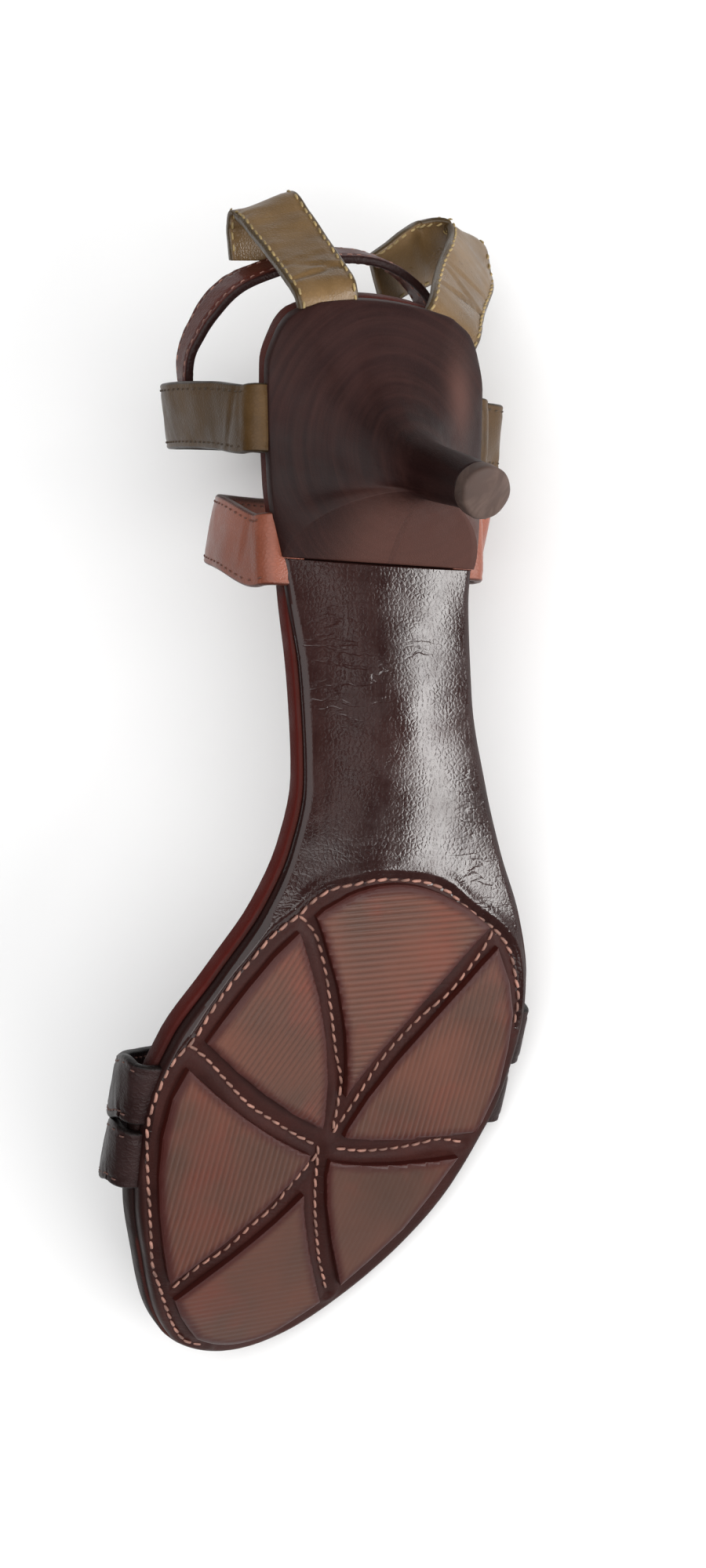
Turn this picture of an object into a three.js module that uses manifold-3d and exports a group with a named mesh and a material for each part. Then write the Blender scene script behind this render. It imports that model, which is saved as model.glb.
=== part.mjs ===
// Kitten heel strappy sandal, one right shoe, in millimetres.
// It is modelled standing (x to the toe, y to the inner side, z up, ground at z = 0)
// and is then laid on its outer side, the way it rests on a floor.
import * as THREE from "three";
import { ConvexHull } from "three/addons/math/ConvexHull.js";
import { mergeVertices } from "three/addons/utils/BufferGeometryUtils.js";
import Module from "manifold-3d";

const wasm = await Module();
wasm.setup();

// Driving sizes
const LENGTH = 240;
const BALL = 91;
const HEEL_HEIGHT = 55.5;
const BREAST = 54.8;
const FOOTBED_THICK = 5.2;
const COVER_THICK = 3.6;
const PAD_RISE = 2.0;
const PAD_SUNK = 0.8;
const GAP = 0.3;
const STRAP_THICK = 1.9;
const TUCK = 6.0;
const TIP_X = 29.3;
const TIP_Y = -1.4;
const TIP_RADIUS = 5.3;
const LIFT_RADIUS = 5.65;
const LIFT_THICK = 4.0;
const HEEL_SKIRT = 2.8;

// Sole outline seen from below: inner and outer edge as shares of the ball width.
const OUTLINE = [
  { along: 0.0167, inner: 0.185, outer: 0.193 },
  { along: 0.0292, inner: 0.255, outer: 0.241 },
  { along: 0.0458, inner: 0.288, outer: 0.262 },
  { along: 0.075, inner: 0.314, outer: 0.278 },
  { along: 0.175, inner: 0.301, outer: 0.275 },
  { along: 0.2604, inner: 0.252, outer: 0.249 },
  { along: 0.3333, inner: 0.227, outer: 0.254 },
  { along: 0.4125, inner: 0.215, outer: 0.297 },
  { along: 0.4667, inner: 0.242, outer: 0.345 },
  { along: 0.5208, inner: 0.303, outer: 0.409 },
  { along: 0.5792, inner: 0.398, outer: 0.457 },
  { along: 0.6375, inner: 0.486, outer: 0.473 },
  { along: 0.7042, inner: 0.526, outer: 0.459 },
  { along: 0.75, inner: 0.523, outer: 0.424 },
  { along: 0.8, inner: 0.503, outer: 0.371 },
  { along: 0.8625, inner: 0.445, outer: 0.275 },
  { along: 0.9187, inner: 0.38, outer: 0.153 },
  { along: 0.9583, inner: 0.305, outer: 0.046 },
  { along: 0.9792, inner: 0.238, outer: -0.051 },
];

// The field of the six tread pads, inside the row of stitches round the forefoot.
const PAD_FIELD = [
  { along: 0.5, inner: 0.09, outer: 0.164 },
  { along: 0.5125, inner: 0.152, outer: 0.241 },
  { along: 0.5292, inner: 0.204, outer: 0.311 },
  { along: 0.5583, inner: 0.278, outer: 0.352 },
  { along: 0.5958, inner: 0.349, outer: 0.404 },
  { along: 0.6375, inner: 0.415, outer: 0.426 },
  { along: 0.6833, inner: 0.469, outer: 0.427 },
  { along: 0.7333, inner: 0.477, outer: 0.395 },
  { along: 0.7833, inner: 0.458, outer: 0.325 },
  { along: 0.8375, inner: 0.416, outer: 0.249 },
  { along: 0.8875, inner: 0.362, outer: 0.145 },
  { along: 0.925, inner: 0.307, outer: 0.06 },
  { along: 0.9542, inner: 0.241, outer: -0.025 },
];

// Underside of the sole along its middle: height as a share of the heel height.
const PROFILE = [
  { along: -0.0167, height: 1.031 },
  { along: 0.0, height: 1.0 },
  { along: 0.2292, height: 0.5676 },
  { along: 0.3542, height: 0.3153 },
  { along: 0.4583, height: 0.1477 },
  { along: 0.5417, height: 0.0649 },
  { along: 0.625, height: 0.036 },
  { along: 0.7917, height: 0.036 },
  { along: 0.8958, height: 0.0829 },
  { along: 0.9708, height: 0.1622 },
  { along: 1.0, height: 0.1982 },
];

// The leather webs between the pads run from the hub through one middle point (a1, s1) to
// the edge (a2, s2): a is a share of the length, s a share of the ball width.
const HUB = { x: LENGTH * 0.7442, y: BALL * 0.0264 };
const WEBS = [
  { name: "back", a1: 0.6333, s1: 0.0703, a2: 0.5, s2: 0.2308, half: 2.4 },
  { name: "outer back", a1: 0.6521, s1: -0.0901, a2: 0.5167, s2: -0.3736, half: 2.7 },
  { name: "outer", a1: 0.7542, s1: -0.1758, a2: 0.7442, s2: -0.5055, half: 3.1 },
  { name: "toe", a1: 0.8083, s1: 0.0253, a2: 0.9417, s2: -0.1374, half: 2.8 },
  { name: "inner toe", a1: 0.8146, s1: 0.1495, a2: 0.925, s2: 0.4505, half: 2.6 },
  { name: "inner", a1: 0.7, s1: 0.2473, a2: 0.6208, s2: 0.5055, half: 3.3 },
];

// Small tools

// A smooth curve through (x, y) pairs that never overshoots them.
function curve(xs, ys) {
  const n = xs.length;
  const slope = [];
  for (let i = 0; i < n - 1; i++) {
    slope.push((ys[i + 1] - ys[i]) / (xs[i + 1] - xs[i]));
  }
  const lean = xs.map((x, i) => {
    if (i === 0) return slope[0];
    if (i === n - 1) return slope[n - 2];
    const a = slope[i - 1];
    const b = slope[i];
    return a * b <= 0 ? 0 : (2 * a * b) / (a + b);
  });
  return (x) => {
    if (x <= xs[0]) return ys[0] + (x - xs[0]) * lean[0];
    if (x >= xs[n - 1]) return ys[n - 1] + (x - xs[n - 1]) * lean[n - 1];
    let i = 0;
    while (x > xs[i + 1]) i++;
    const h = xs[i + 1] - xs[i];
    const t = (x - xs[i]) / h;
    const s = 1 - t;
    const ends = ys[i] * s * s * (1 + 2 * t) + ys[i + 1] * t * t * (3 - 2 * t);
    return ends + h * t * s * (lean[i] * s - lean[i + 1] * t);
  };
}

const column = (rows, key, size) => rows.map((row) => row[key] * size);
const edges = (rows) => ({
  inner: curve(column(rows, "along", LENGTH), column(rows, "inner", BALL)),
  outer: curve(column(rows, "along", LENGTH), column(rows, "outer", -BALL)),
});
const sole = edges(OUTLINE);
const field = edges(PAD_FIELD);
const underside = curve(
  column(PROFILE, "along", LENGTH),
  column(PROFILE, "height", HEEL_HEIGHT)
);
const smooth = (a, b, x) => {
  const t = Math.min(1, Math.max(0, (x - a) / (b - a)));
  return t * t * (3 - 2 * t);
};

// The joint between footbed and outsole, and how far the outsole bulges down in the waist.
const coverThick = (x) => COVER_THICK - 1.6 * (1 - smooth(0, LENGTH * 0.2083, x));
const joint = (x) => underside(x) + coverThick(x);
const belly = (x) => {
  const waist = smooth(LENGTH * 0.625, LENGTH * 0.3958, x);
  return 2.0 * waist * (0.35 + 0.65 * smooth(LENGTH * 0.1667, LENGTH * 0.3125, x));
};
const across = (x, y) => {
  const half = (sole.inner(x) - sole.outer(x)) / 2;
  const middle = (sole.inner(x) + sole.outer(x)) / 2;
  return (y - middle) / half;
};
const coverLow = (x, y) => {
  const v = Math.min(1, Math.abs(across(x, y)));
  return underside(x) + belly(x) * (v * v - 0.25);
};

// Loose faces to geometry, and geometry to a solid that can be cut and joined.
function build(points, faces) {
  const geometry = new THREE.BufferGeometry();
  geometry.setAttribute("position", new THREE.Float32BufferAttribute(points.flat(), 3));
  geometry.setIndex(faces.flat());
  return geometry;
}
function solid(geometry) {
  const merged = mergeVertices(geometry, 1e-4);
  const mesh = new wasm.Mesh({
    numProp: 3,
    vertProperties: merged.attributes.position.array,
    triVerts: new Uint32Array(merged.index.array),
  });
  return new wasm.Manifold(mesh);
}
function geometryOf(body) {
  const mesh = body.getMesh();
  const geometry = new THREE.BufferGeometry();
  const points = new Float32Array(mesh.vertProperties);
  geometry.setAttribute("position", new THREE.Float32BufferAttribute(points, 3));
  geometry.setIndex(Array.from(mesh.triVerts));
  return geometry;
}

// A slab with a curved outline. Columns run from the back to the toe, and each one is
// a line across from the inner to the outer edge. Ends bulge to close the outline.
function slab({ xs, inner, outer, backBulge, toeBulge, steps, levels, low, high }) {
  const n = xs.length - 1;
  const loop = [];
  const end = (x, v, bulge) => {
    const y = inner(x) + (outer(x) - inner(x)) * v;
    return [x + bulge * (1 - (2 * v - 1) ** 2), y];
  };
  for (let i = 0; i <= n; i++) loop.push([xs[i], inner(xs[i])]);
  for (let j = 1; j < steps; j++) loop.push(end(xs[n], j / steps, toeBulge));
  for (let i = n; i >= 0; i--) loop.push([xs[i], outer(xs[i])]);
  for (let j = steps - 1; j > 0; j--) loop.push(end(xs[0], j / steps, -backBulge));
  const count = loop.length;
  const ring = (inset) =>
    loop.map(([x, y], k) => {
      if (inset === 0) return [x, y];
      const a = loop[(k + count - 1) % count];
      const b = loop[(k + 1) % count];
      const size = Math.hypot(b[0] - a[0], b[1] - a[1]);
      return [x - (inset * -(b[1] - a[1])) / size, y - (inset * (b[0] - a[0])) / size];
    });
  const points = [];
  const faces = [];
  for (const { inset, rise } of levels) {
    for (const [x, y] of ring(inset)) {
      points.push([x, y, low(x, y) + (high(x, y) - low(x, y)) * rise]);
    }
  }
  for (let r = 0; r + 1 < levels.length; r++) {
    for (let k = 0; k < count; k++) {
      const a = r * count + k;
      const b = r * count + ((k + 1) % count);
      faces.push([a, a + count, b], [b, a + count, b + count]);
    }
  }
  // Both caps are grids that reuse the edge points.
  for (const [level, height, flip] of [
    [0, low, true],
    [levels.length - 1, high, false],
  ]) {
    const base = level * count;
    const grid = [];
    for (let i = 0; i <= n; i++) {
      const row = [base + i];
      const a = points[base + i];
      const b = points[base + (n + steps + (n - i))];
      for (let j = 1; j < steps; j++) {
        if (i === n) {
          row.push(base + n + j);
        } else if (i === 0) {
          row.push(base + count - j);
        } else {
          const x = a[0] + ((b[0] - a[0]) * j) / steps;
          const y = a[1] + ((b[1] - a[1]) * j) / steps;
          points.push([x, y, height(x, y)]);
          row.push(points.length - 1);
        }
      }
      row.push(base + n + steps + (n - i));
      grid.push(row);
    }
    for (let i = 0; i < n; i++) {
      for (let j = 0; j < steps; j++) {
        const [a, b, c, d] = [grid[i][j], grid[i + 1][j], grid[i + 1][j + 1], grid[i][j + 1]];
        if (flip) faces.push([a, b, c], [a, c, d]);
        else faces.push([a, c, b], [a, d, c]);
      }
    }
  }
  return build(points, faces);
}

// Columns close together at both ends and even in between.
function columns(from, to, count) {
  const xs = [];
  for (let i = 0; i <= count; i++) {
    const t = i / count;
    const eased = 0.5 - 0.5 * Math.cos(Math.PI * t);
    xs.push(from + (to - from) * (0.35 * t + 0.65 * eased));
  }
  return xs;
}

// A flat strap along a path. Each stop is a point and the way its width runs.
function strap(stops, width, thick, grow = 0, perSpan = 3) {
  const line = new THREE.CatmullRomCurve3(stops.map((s) => s.at), false, "centripetal");
  const spans = stops.length - 1;
  const total = spans * perSpan;
  const a = width / 2 + grow;
  const b = thick / 2 + grow;
  const bevel = Math.min(0.35, b * 0.45);
  const section = [
    [-a, -b + bevel],
    [-a + bevel, -b],
    [a - bevel, -b],
    [a, -b + bevel],
    [a, b - bevel],
    [a - bevel, b],
    [-a + bevel, b],
    [-a, b - bevel],
  ];
  const points = [];
  const faces = [];
  for (let i = 0; i <= total; i++) {
    const t = i / total;
    const k = Math.min(spans - 1, Math.floor(t * spans));
    const f = t * spans - k;
    const wide = stops[k].wide.clone().lerp(stops[k + 1].wide, f * f * (3 - 2 * f));
    const share = stops[k].share + (stops[k + 1].share - stops[k].share) * f;
    const way = line.getTangent(t);
    const at = line.getPoint(t);
    if (i === 0) at.addScaledVector(way, -grow);
    if (i === total) at.addScaledVector(way, grow);
    wide.addScaledVector(way, -wide.dot(way)).normalize();
    const up = new THREE.Vector3().crossVectors(way, wide);
    for (const [u, v] of section) {
      const side = u * share + Math.sign(u) * grow * (1 - share);
      const p = at.clone().addScaledVector(wide, side).addScaledVector(up, v);
      points.push(p.toArray());
    }
  }
  const m = section.length;
  for (let i = 0; i < total; i++) {
    for (let j = 0; j < m; j++) {
      const p = i * m + j;
      const q = i * m + ((j + 1) % m);
      faces.push([p, q + m, q], [p, p + m, q + m]);
    }
  }
  for (let j = 1; j + 1 < m; j++) {
    faces.push([0, j, j + 1]);
    faces.push([total * m, total * m + j + 1, total * m + j]);
  }
  const geometry = build(points, faces);
  return solid(geometry).volume() < 0 ? turned(geometry) : geometry;
}
function turned(geometry) {
  const index = Array.from(geometry.index.array);
  for (let i = 0; i < index.length; i += 3) {
    [index[i + 1], index[i + 2]] = [index[i + 2], index[i + 1]];
  }
  geometry.setIndex(index);
  return geometry;
}
const stop = (x, y, z, wide = [1, 0, 0], share = 1) => ({
  at: new THREE.Vector3(x, y, z),
  wide: new THREE.Vector3(...wide),
  share,
});

// How a strap comes out from under the footbed at the side (side is 1 inner, -1 outer).
function tuck(x, side, bulge = 2.5) {
  const edge = side > 0 ? sole.inner(x) : sole.outer(x);
  const seam = joint(x) - GAP - STRAP_THICK / 2 - 0.05;
  const slope = (joint(x + 1) - joint(x - 1)) / 2;
  const wide = [1, 0, slope];
  const bend = [
    { out: -TUCK, rise: 0 },
    { out: -1.4, rise: 0 },
    { out: 0.36 * bulge, rise: 0.35 },
    { out: 0.88 * bulge, rise: 1.9 },
    { out: bulge, rise: 4.6 },
  ];
  return bend.map(({ out, rise }) =>
    stop(x - slope * rise, edge + side * out, seam + rise, wide)
  );
}
function arch(inner, via, outer, outerBulge) {
  const middle = via.map(({ along, side, rise, turn = 0 }) => {
    const x = along * LENGTH;
    return stop(x, side * BALL, joint(x) + rise * BALL, [1, turn, 0]);
  });
  const start = tuck(inner * LENGTH, 1);
  return [...start, ...middle, ...tuck(outer * LENGTH, -1, outerBulge).reverse()];
}

// A loop that stands up from the back of the seat: rise is height above the joint there.
const SEAT_BACK = LENGTH * 0.0146;
function loopStops(rows) {
  return rows.map(({ along, side, rise, wide, share }) => {
    const x = along * LENGTH;
    const seam = joint(Math.max(x, SEAT_BACK)) - GAP - STRAP_THICK / 2 - 0.05;
    return stop(x, side * BALL, seam + rise * BALL, wide, share);
  });
}

// Strap paths: the middle line from the inner joint over the foot to the outer joint.
// along is a share of the length; side and rise (above the joint) are shares of the ball.
const STRAPS = {
  toe_strap_back: {
    width: 13.5,
    stops: arch(
      0.6917,
      [
        { along: 0.7092, side: 0.5253, rise: 0.1253 },
        { along: 0.7233, side: 0.4681, rise: 0.2242 },
        { along: 0.7333, side: 0.3571, rise: 0.3011 },
        { along: 0.7267, side: 0.1648, rise: 0.3396 },
        { along: 0.7, side: -0.0769, rise: 0.3176 },
        { along: 0.6717, side: -0.2967, rise: 0.2297 },
        { along: 0.6525, side: -0.4308, rise: 0.1143 },
      ],
      0.6458,
      1.7
    ),
  },
  toe_strap_front: {
    width: 13.2,
    stops: arch(
      0.7554,
      [
        { along: 0.77, side: 0.5209, rise: 0.1198 },
        { along: 0.78, side: 0.4615, rise: 0.2077 },
        { along: 0.7875, side: 0.3473, rise: 0.2791 },
        { along: 0.7808, side: 0.1648, rise: 0.3121 },
        { along: 0.7542, side: -0.0549, rise: 0.2791 },
        { along: 0.7275, side: -0.2637, rise: 0.2022 },
        { along: 0.7133, side: -0.4088, rise: 0.1033 },
      ],
      0.7075,
      1.5
    ),
  },
  instep_strap: {
    width: 15.4,
    stops: arch(
      0.2225,
      [
        { along: 0.235, side: 0.3033, rise: 0.2146 },
        { along: 0.2442, side: 0.2659, rise: 0.3577 },
        { along: 0.2562, side: 0.1648, rise: 0.4992 },
        { along: 0.2625, side: 0, rise: 0.5675 },
        { along: 0.2562, side: -0.1868, rise: 0.5156 },
        { along: 0.2396, side: -0.3407, rise: 0.3631 },
        { along: 0.2233, side: -0.3956, rise: 0.2062 },
        { along: 0.215, side: -0.3462, rise: 0.0974 },
      ],
      0.2092
    ),
  },
  side_strap: {
    width: 14.6,
    stops: arch(
      0.1167,
      [
        { along: 0.1325, side: 0.3429, rise: 0.1662, turn: -0.1 },
        { along: 0.1458, side: 0.3473, rise: 0.3228, turn: -0.25 },
        { along: 0.1583, side: 0.3341, rise: 0.4569, turn: -0.35 },
        { along: 0.1717, side: 0.2692, rise: 0.6086, turn: -0.3 },
        { along: 0.1792, side: 0.1319, rise: 0.7157 },
        { along: 0.1812, side: -0.0659, rise: 0.762 },
        { along: 0.1792, side: -0.2582, rise: 0.6992 },
        { along: 0.1625, side: -0.3736, rise: 0.5053, turn: -0.3 },
        { along: 0.1417, side: -0.4066, rise: 0.2745, turn: -0.3 },
        { along: 0.125, side: -0.4, rise: 0.1145, turn: -0.15 },
      ],
      0.1108
    ),
  },
  rear_loop_medial: {
    width: 14.8,
    stops: loopStops([
      { along: 0.04, side: 0.1319, rise: 0, wide: [-0.28, -0.96, 0.12] },
      { along: 0.0204, side: 0.1451, rise: 0, wide: [-0.28, -0.96, 0.12] },
      { along: 0.0096, side: 0.1516, rise: 0.0033, wide: [-0.27, -0.96, 0.08] },
      { along: 0.0025, side: 0.1549, rise: 0.0242, wide: [-0.27, -0.96, 0] },
      { along: -0.0029, side: 0.156, rise: 0.0593, wide: [-0.28, -0.96, 0] },
      { along: -0.0183, side: 0.1604, rise: 0.1703, wide: [-0.33, -0.94, 0] },
      { along: -0.0325, side: 0.167, rise: 0.2703, wide: [-0.42, -0.9, -0.05] },
      { along: -0.0417, side: 0.1714, rise: 0.3473, wide: [-0.5, -0.86, -0.1] },
      { along: -0.0358, side: 0.1703, rise: 0.3846, wide: [-0.5, -0.86, -0.08], share: 0.97 },
      { along: -0.0208, side: 0.1681, rise: 0.3912, wide: [-0.44, -0.9, -0.04], share: 0.94 },
      { along: -0.005, side: 0.1648, rise: 0.3846, wide: [-0.36, -0.93, 0], share: 0.88 },
      { along: 0.01, side: 0.1604, rise: 0.3791, wide: [-0.3, -0.95, 0], share: 0.82 },
    ]),
  },
  rear_loop_lateral: {
    width: 15.0,
    stops: loopStops([
      { along: 0.0517, side: -0.1495, rise: 0, wide: [0.45, -0.87, -0.18] },
      { along: 0.0333, side: -0.1802, rise: 0, wide: [0.45, -0.87, -0.18] },
      { along: 0.0217, side: -0.2022, rise: 0.0044, wide: [0.45, -0.87, -0.15] },
      { along: 0.0138, side: -0.222, rise: 0.0264, wide: [0.45, -0.87, -0.12] },
      { along: 0.0079, side: -0.2418, rise: 0.0615, wide: [0.46, -0.87, -0.1] },
      { along: -0.0042, side: -0.2945, rise: 0.1473, wide: [0.5, -0.85, -0.12] },
      { along: -0.0158, side: -0.3429, rise: 0.2253, wide: [0.58, -0.8, -0.1] },
      { along: -0.0208, side: -0.367, rise: 0.2879, wide: [0.68, -0.72, -0.06] },
      { along: -0.02, side: -0.356, rise: 0.3297, wide: [0.8, -0.58, 0] },
      { along: -0.0133, side: -0.3165, rise: 0.3451, wide: [0.86, -0.5, 0] },
      { along: -0.0033, side: -0.2615, rise: 0.3473, wide: [0.89, -0.45, 0], share: 0.97 },
      { along: 0.0058, side: -0.2088, rise: 0.3451, wide: [0.9, -0.42, 0], share: 0.92 },
      { along: 0.0125, side: -0.167, rise: 0.3429, wide: [0.9, -0.42, 0], share: 0.86 },
    ]),
  },
};

const ANKLE_WIDTH = 9.6;
const ANKLE_THICK = 1.8;
const ankle = (along, side, rise, wide, share) =>
  stop(along * LENGTH, side * BALL, joint(SEAT_BACK) + rise * BALL, wide, share);
const ankleStops = [
  ankle(0.1625, 0.2857, 0.2922, [0, -0.2, 1], 0.82),
  ankle(0.1292, 0.3187, 0.2944, [0, -0.18, 1], 0.86),
  ankle(0.1, 0.3319, 0.2966, [0.02, -0.14, 1], 0.9),
  ankle(0.0758, 0.3165, 0.2966, [0.02, -0.08, 1], 0.95),
  ankle(0.0492, 0.2835, 0.2966, [0, 0, 1]),
  ankle(0.03, 0.2396, 0.2966, [0, 0, 1]),
  ankle(0.0142, 0.1648, 0.2966, [0, 0, 1]),
  ankle(-0.0008, 0.0604, 0.2966, [0, 0, 1]),
  ankle(-0.01, -0.0495, 0.2834, [0, 0, 1]),
  ankle(-0.0083, -0.1319, 0.2615, [0, 0, 1]),
  ankle(0.0042, -0.2088, 0.2483, [0, 0, 1]),
  ankle(0.025, -0.2725, 0.2439, [0, 0, 1]),
  ankle(0.0521, -0.3121, 0.2439, [0, 0, 1]),
  ankle(0.0854, -0.3319, 0.2483, [0, 0, 1]),
  ankle(0.1208, -0.3341, 0.2527, [0, 0, 1]),
  ankle(0.1583, -0.3209, 0.2571, [0, 0, 1]),
];

// Sole pieces

const FOOTBED_LEVELS = [
  { inset: 0.5, rise: 0 },
  { inset: 0, rise: 0.14 },
  { inset: 0, rise: 0.78 },
  { inset: 0.35, rise: 0.93 },
  { inset: 1.0, rise: 1 },
];
const COVER_LEVELS = [
  { inset: 1.2, rise: 0 },
  { inset: 0.35, rise: 0.16 },
  { inset: 0, rise: 0.45 },
  { inset: 0, rise: 1 },
];
const dish = (x, y) => {
  const v = Math.min(1, Math.abs(across(x, y)));
  const seat = 1.1 * smooth(LENGTH * 0.3125, LENGTH * 0.0833, x) * (v * v - 1);
  return seat - 0.5 * smooth(LENGTH * 0.25, LENGTH * 0.4583, x) * v * v;
};
const footbed = slab({
  xs: columns(LENGTH * 0.0167, LENGTH * 0.9725, 29),
  inner: sole.inner,
  outer: sole.outer,
  backBulge: 2.3,
  toeBulge: 3.8,
  steps: 6,
  levels: FOOTBED_LEVELS,
  low: (x, y) => joint(x),
  high: (x, y) => joint(x) + FOOTBED_THICK + dish(x, y),
});

const cover = slab({
  xs: columns(BREAST, LENGTH * 0.9642, 25),
  inner: (x) => sole.inner(x) - 0.4 - 0.6 * smooth(BREAST + 7, BREAST + 21, x),
  outer: (x) => sole.outer(x) + 0.4,
  backBulge: 0,
  toeBulge: 4.2,
  steps: 6,
  levels: COVER_LEVELS,
  low: coverLow,
  high: (x, y) => joint(x) - GAP,
});

// Tread pads: the field is filled, then the webs are cut out of it.
const padLow = (x) => underside(x) - PAD_RISE;
function padField(grow, low, high, insetLow) {
  return slab({
    xs: columns(LENGTH * 0.5, LENGTH * 0.9542, 16),
    inner: (x) => field.inner(x) + grow,
    outer: (x) => field.outer(x) - grow,
    backBulge: 2.2 + grow,
    toeBulge: 2.8 + grow,
    steps: 10,
    levels: [
      { inset: insetLow, rise: 0 },
      { inset: 0, rise: 0.2 },
      { inset: 0, rise: 1 },
    ],
    low,
    high,
  });
}
function webBar({ a1, s1, a2, s2, half }, grow) {
  const [x1, y1, x2, y2] = [a1 * LENGTH, s1 * BALL, a2 * LENGTH, s2 * BALL];
  const path = new THREE.QuadraticBezierCurve(
    new THREE.Vector2(HUB.x, HUB.y),
    new THREE.Vector2(2 * x1 - (HUB.x + x2) / 2, 2 * y1 - (HUB.y + y2) / 2),
    new THREE.Vector2(x2, y2)
  );
  const points = [];
  const faces = [];
  const parts = 6;
  for (let i = 0; i <= parts; i++) {
    const t = -0.04 + (1.08 * i) / parts;
    const p = path.getPoint(t);
    const d = path.getTangent(Math.min(1, Math.max(0, t)));
    const w = half - grow;
    for (const [s, z] of [
      [-1, -4],
      [1, -4],
      [1, 22],
      [-1, 22],
    ]) {
      points.push([p.x - d.y * w * s, p.y + d.x * w * s, z]);
    }
  }
  for (let i = 0; i < parts; i++) {
    for (let j = 0; j < 4; j++) {
      const p = i * 4 + j;
      const q = i * 4 + ((j + 1) % 4);
      faces.push([p, q + 4, q], [p, p + 4, q + 4]);
    }
  }
  const last = parts * 4;
  faces.push([0, 1, 2], [0, 2, 3], [last, last + 2, last + 1], [last, last + 3, last + 2]);
  const bar = build(points, faces);
  return solid(solid(bar).volume() < 0 ? turned(bar) : bar);
}
function padBodies(grow, low, high, insetLow) {
  let body = solid(padField(grow, low, high, insetLow));
  for (const web of WEBS) body = body.subtract(webBar(web, grow));
  return body;
}
const padSet = padBodies(
  0,
  (x) => padLow(x),
  (x) => underside(x) + PAD_SUNK,
  0.35
);
const pockets = padBodies(
  GAP,
  (x) => underside(x) - 3,
  (x) => underside(x) + PAD_SUNK + GAP,
  0
);
const middleOf = (body) => {
  const { min, max } = body.boundingBox();
  return Math.atan2((min[1] + max[1]) / 2 - HUB.y, HUB.x - (min[0] + max[0]) / 2);
};
const pads = padSet
  .decompose()
  .filter((body) => body.volume() > 40)
  .sort((a, b) => middleOf(a) - middleOf(b));

// Heel: a seat that flares out of a slim neck, with a flat breast facing the toe.
function heelBlock() {
  const steps = 8;
  const xs = columns(LENGTH * 0.0167, BREAST - GAP, 14);
  const loop = [];
  const inset = 0.4;
  for (const x of xs) loop.push([x, sole.inner(x) - inset]);
  const last = xs[xs.length - 1];
  for (let j = 1; j < steps; j++) {
    const y = sole.inner(last) - inset;
    loop.push([last, y + ((sole.outer(last) + inset - y) * j) / steps]);
  }
  for (const x of [...xs].reverse()) loop.push([x, sole.outer(x) + inset]);
  for (let j = steps - 1; j > 0; j--) {
    const v = j / steps;
    const y = sole.inner(xs[0]) + (sole.outer(xs[0]) - sole.inner(xs[0])) * v;
    loop.push([xs[0] - (2.3 - inset) * (1 - (2 * v - 1) ** 2), y]);
  }
  const count = loop.length;
  const depths = [0, 0.001, 0.03, 0.065, 0.105, 0.155, 0.215, 0.29, 0.39, 0.52, 0.68, 0.84, 1];
  const tipZ = LIFT_THICK + GAP;
  const points = [];
  const faces = [];
  for (const [row, d] of depths.entries()) {
    const body = 1 - (1 - d ** 1.3) ** 6.2;
    const face = 1 - (1 - d) ** 8;
    const lean = 2.0 * smooth(1, 0.4, d);
    for (const [x, y] of loop) {
      const turn = Math.atan2(y - 1.5, x - TIP_X);
      const front = smooth(BREAST - 16.8, BREAST - 1.8, x);
      const along = body + (face - body) * front;
      const wide = body + (face ** 2.2 - body) * front;
      const neckX = TIP_X + lean + TIP_RADIUS * Math.cos(turn);
      const neckY = TIP_Y + TIP_RADIUS * Math.sin(turn);
      const top = joint(x) - GAP;
      const px = x + (neckX - x) * along;
      const py = y + (neckY - y) * wide;
      const skirt = top - HEEL_SKIRT;
      points.push([px, py, row === 0 ? top : skirt + (tipZ - skirt) * d]);
    }
  }
  for (let r = 0; r + 1 < depths.length; r++) {
    for (let k = 0; k < count; k++) {
      const a = r * count + k;
      const b = r * count + ((k + 1) % count);
      faces.push([a, b, a + count], [b, b + count, a + count]);
    }
  }
  // Top: a grid like the slab's. Bottom: a fan.
  const n = xs.length - 1;
  const grid = [];
  for (let i = 0; i <= n; i++) {
    const far = n + steps + (n - i);
    const row = [i];
    for (let j = 1; j < steps; j++) {
      if (i === n) {
        row.push(n + j);
      } else if (i === 0) {
        row.push(count - j);
      } else {
        const y = loop[i][1] + ((loop[far][1] - loop[i][1]) * j) / steps;
        points.push([loop[i][0], y, joint(loop[i][0]) - GAP]);
        row.push(points.length - 1);
      }
    }
    row.push(far);
    grid.push(row);
  }
  for (let i = 0; i < n; i++) {
    for (let j = 0; j < steps; j++) {
      const [a, b, c, d] = [grid[i][j], grid[i + 1][j], grid[i + 1][j + 1], grid[i][j + 1]];
      faces.push([a, c, b], [a, d, c]);
    }
  }
  const base = (depths.length - 1) * count;
  points.push([TIP_X, TIP_Y, tipZ]);
  for (let k = 0; k < count; k++) {
    faces.push([base + k, base + ((k + 1) % count), points.length - 1]);
  }
  const geometry = build(points, faces);
  return solid(geometry).volume() < 0 ? turned(geometry) : geometry;
}

function disc(radius, thick, bevel, sides) {
  const points = [];
  const faces = [];
  const rings = [
    [radius - bevel, 0],
    [radius, bevel],
    [radius, thick - 0.3],
    [radius - 0.3, thick],
  ];
  for (const [r, z] of rings) {
    for (let k = 0; k < sides; k++) {
      const turn = (2 * Math.PI * k) / sides;
      points.push([TIP_X + r * Math.cos(turn), TIP_Y + r * Math.sin(turn), z]);
    }
  }
  for (let r = 0; r < 3; r++) {
    for (let k = 0; k < sides; k++) {
      const a = r * sides + k;
      const b = r * sides + ((k + 1) % sides);
      faces.push([a, b, a + sides], [b, b + sides, a + sides]);
    }
  }
  for (let k = 1; k + 1 < sides; k++) {
    faces.push([0, k + 1, k], [3 * sides, 3 * sides + k, 3 * sides + k + 1]);
  }
  return build(points, faces);
}

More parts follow.
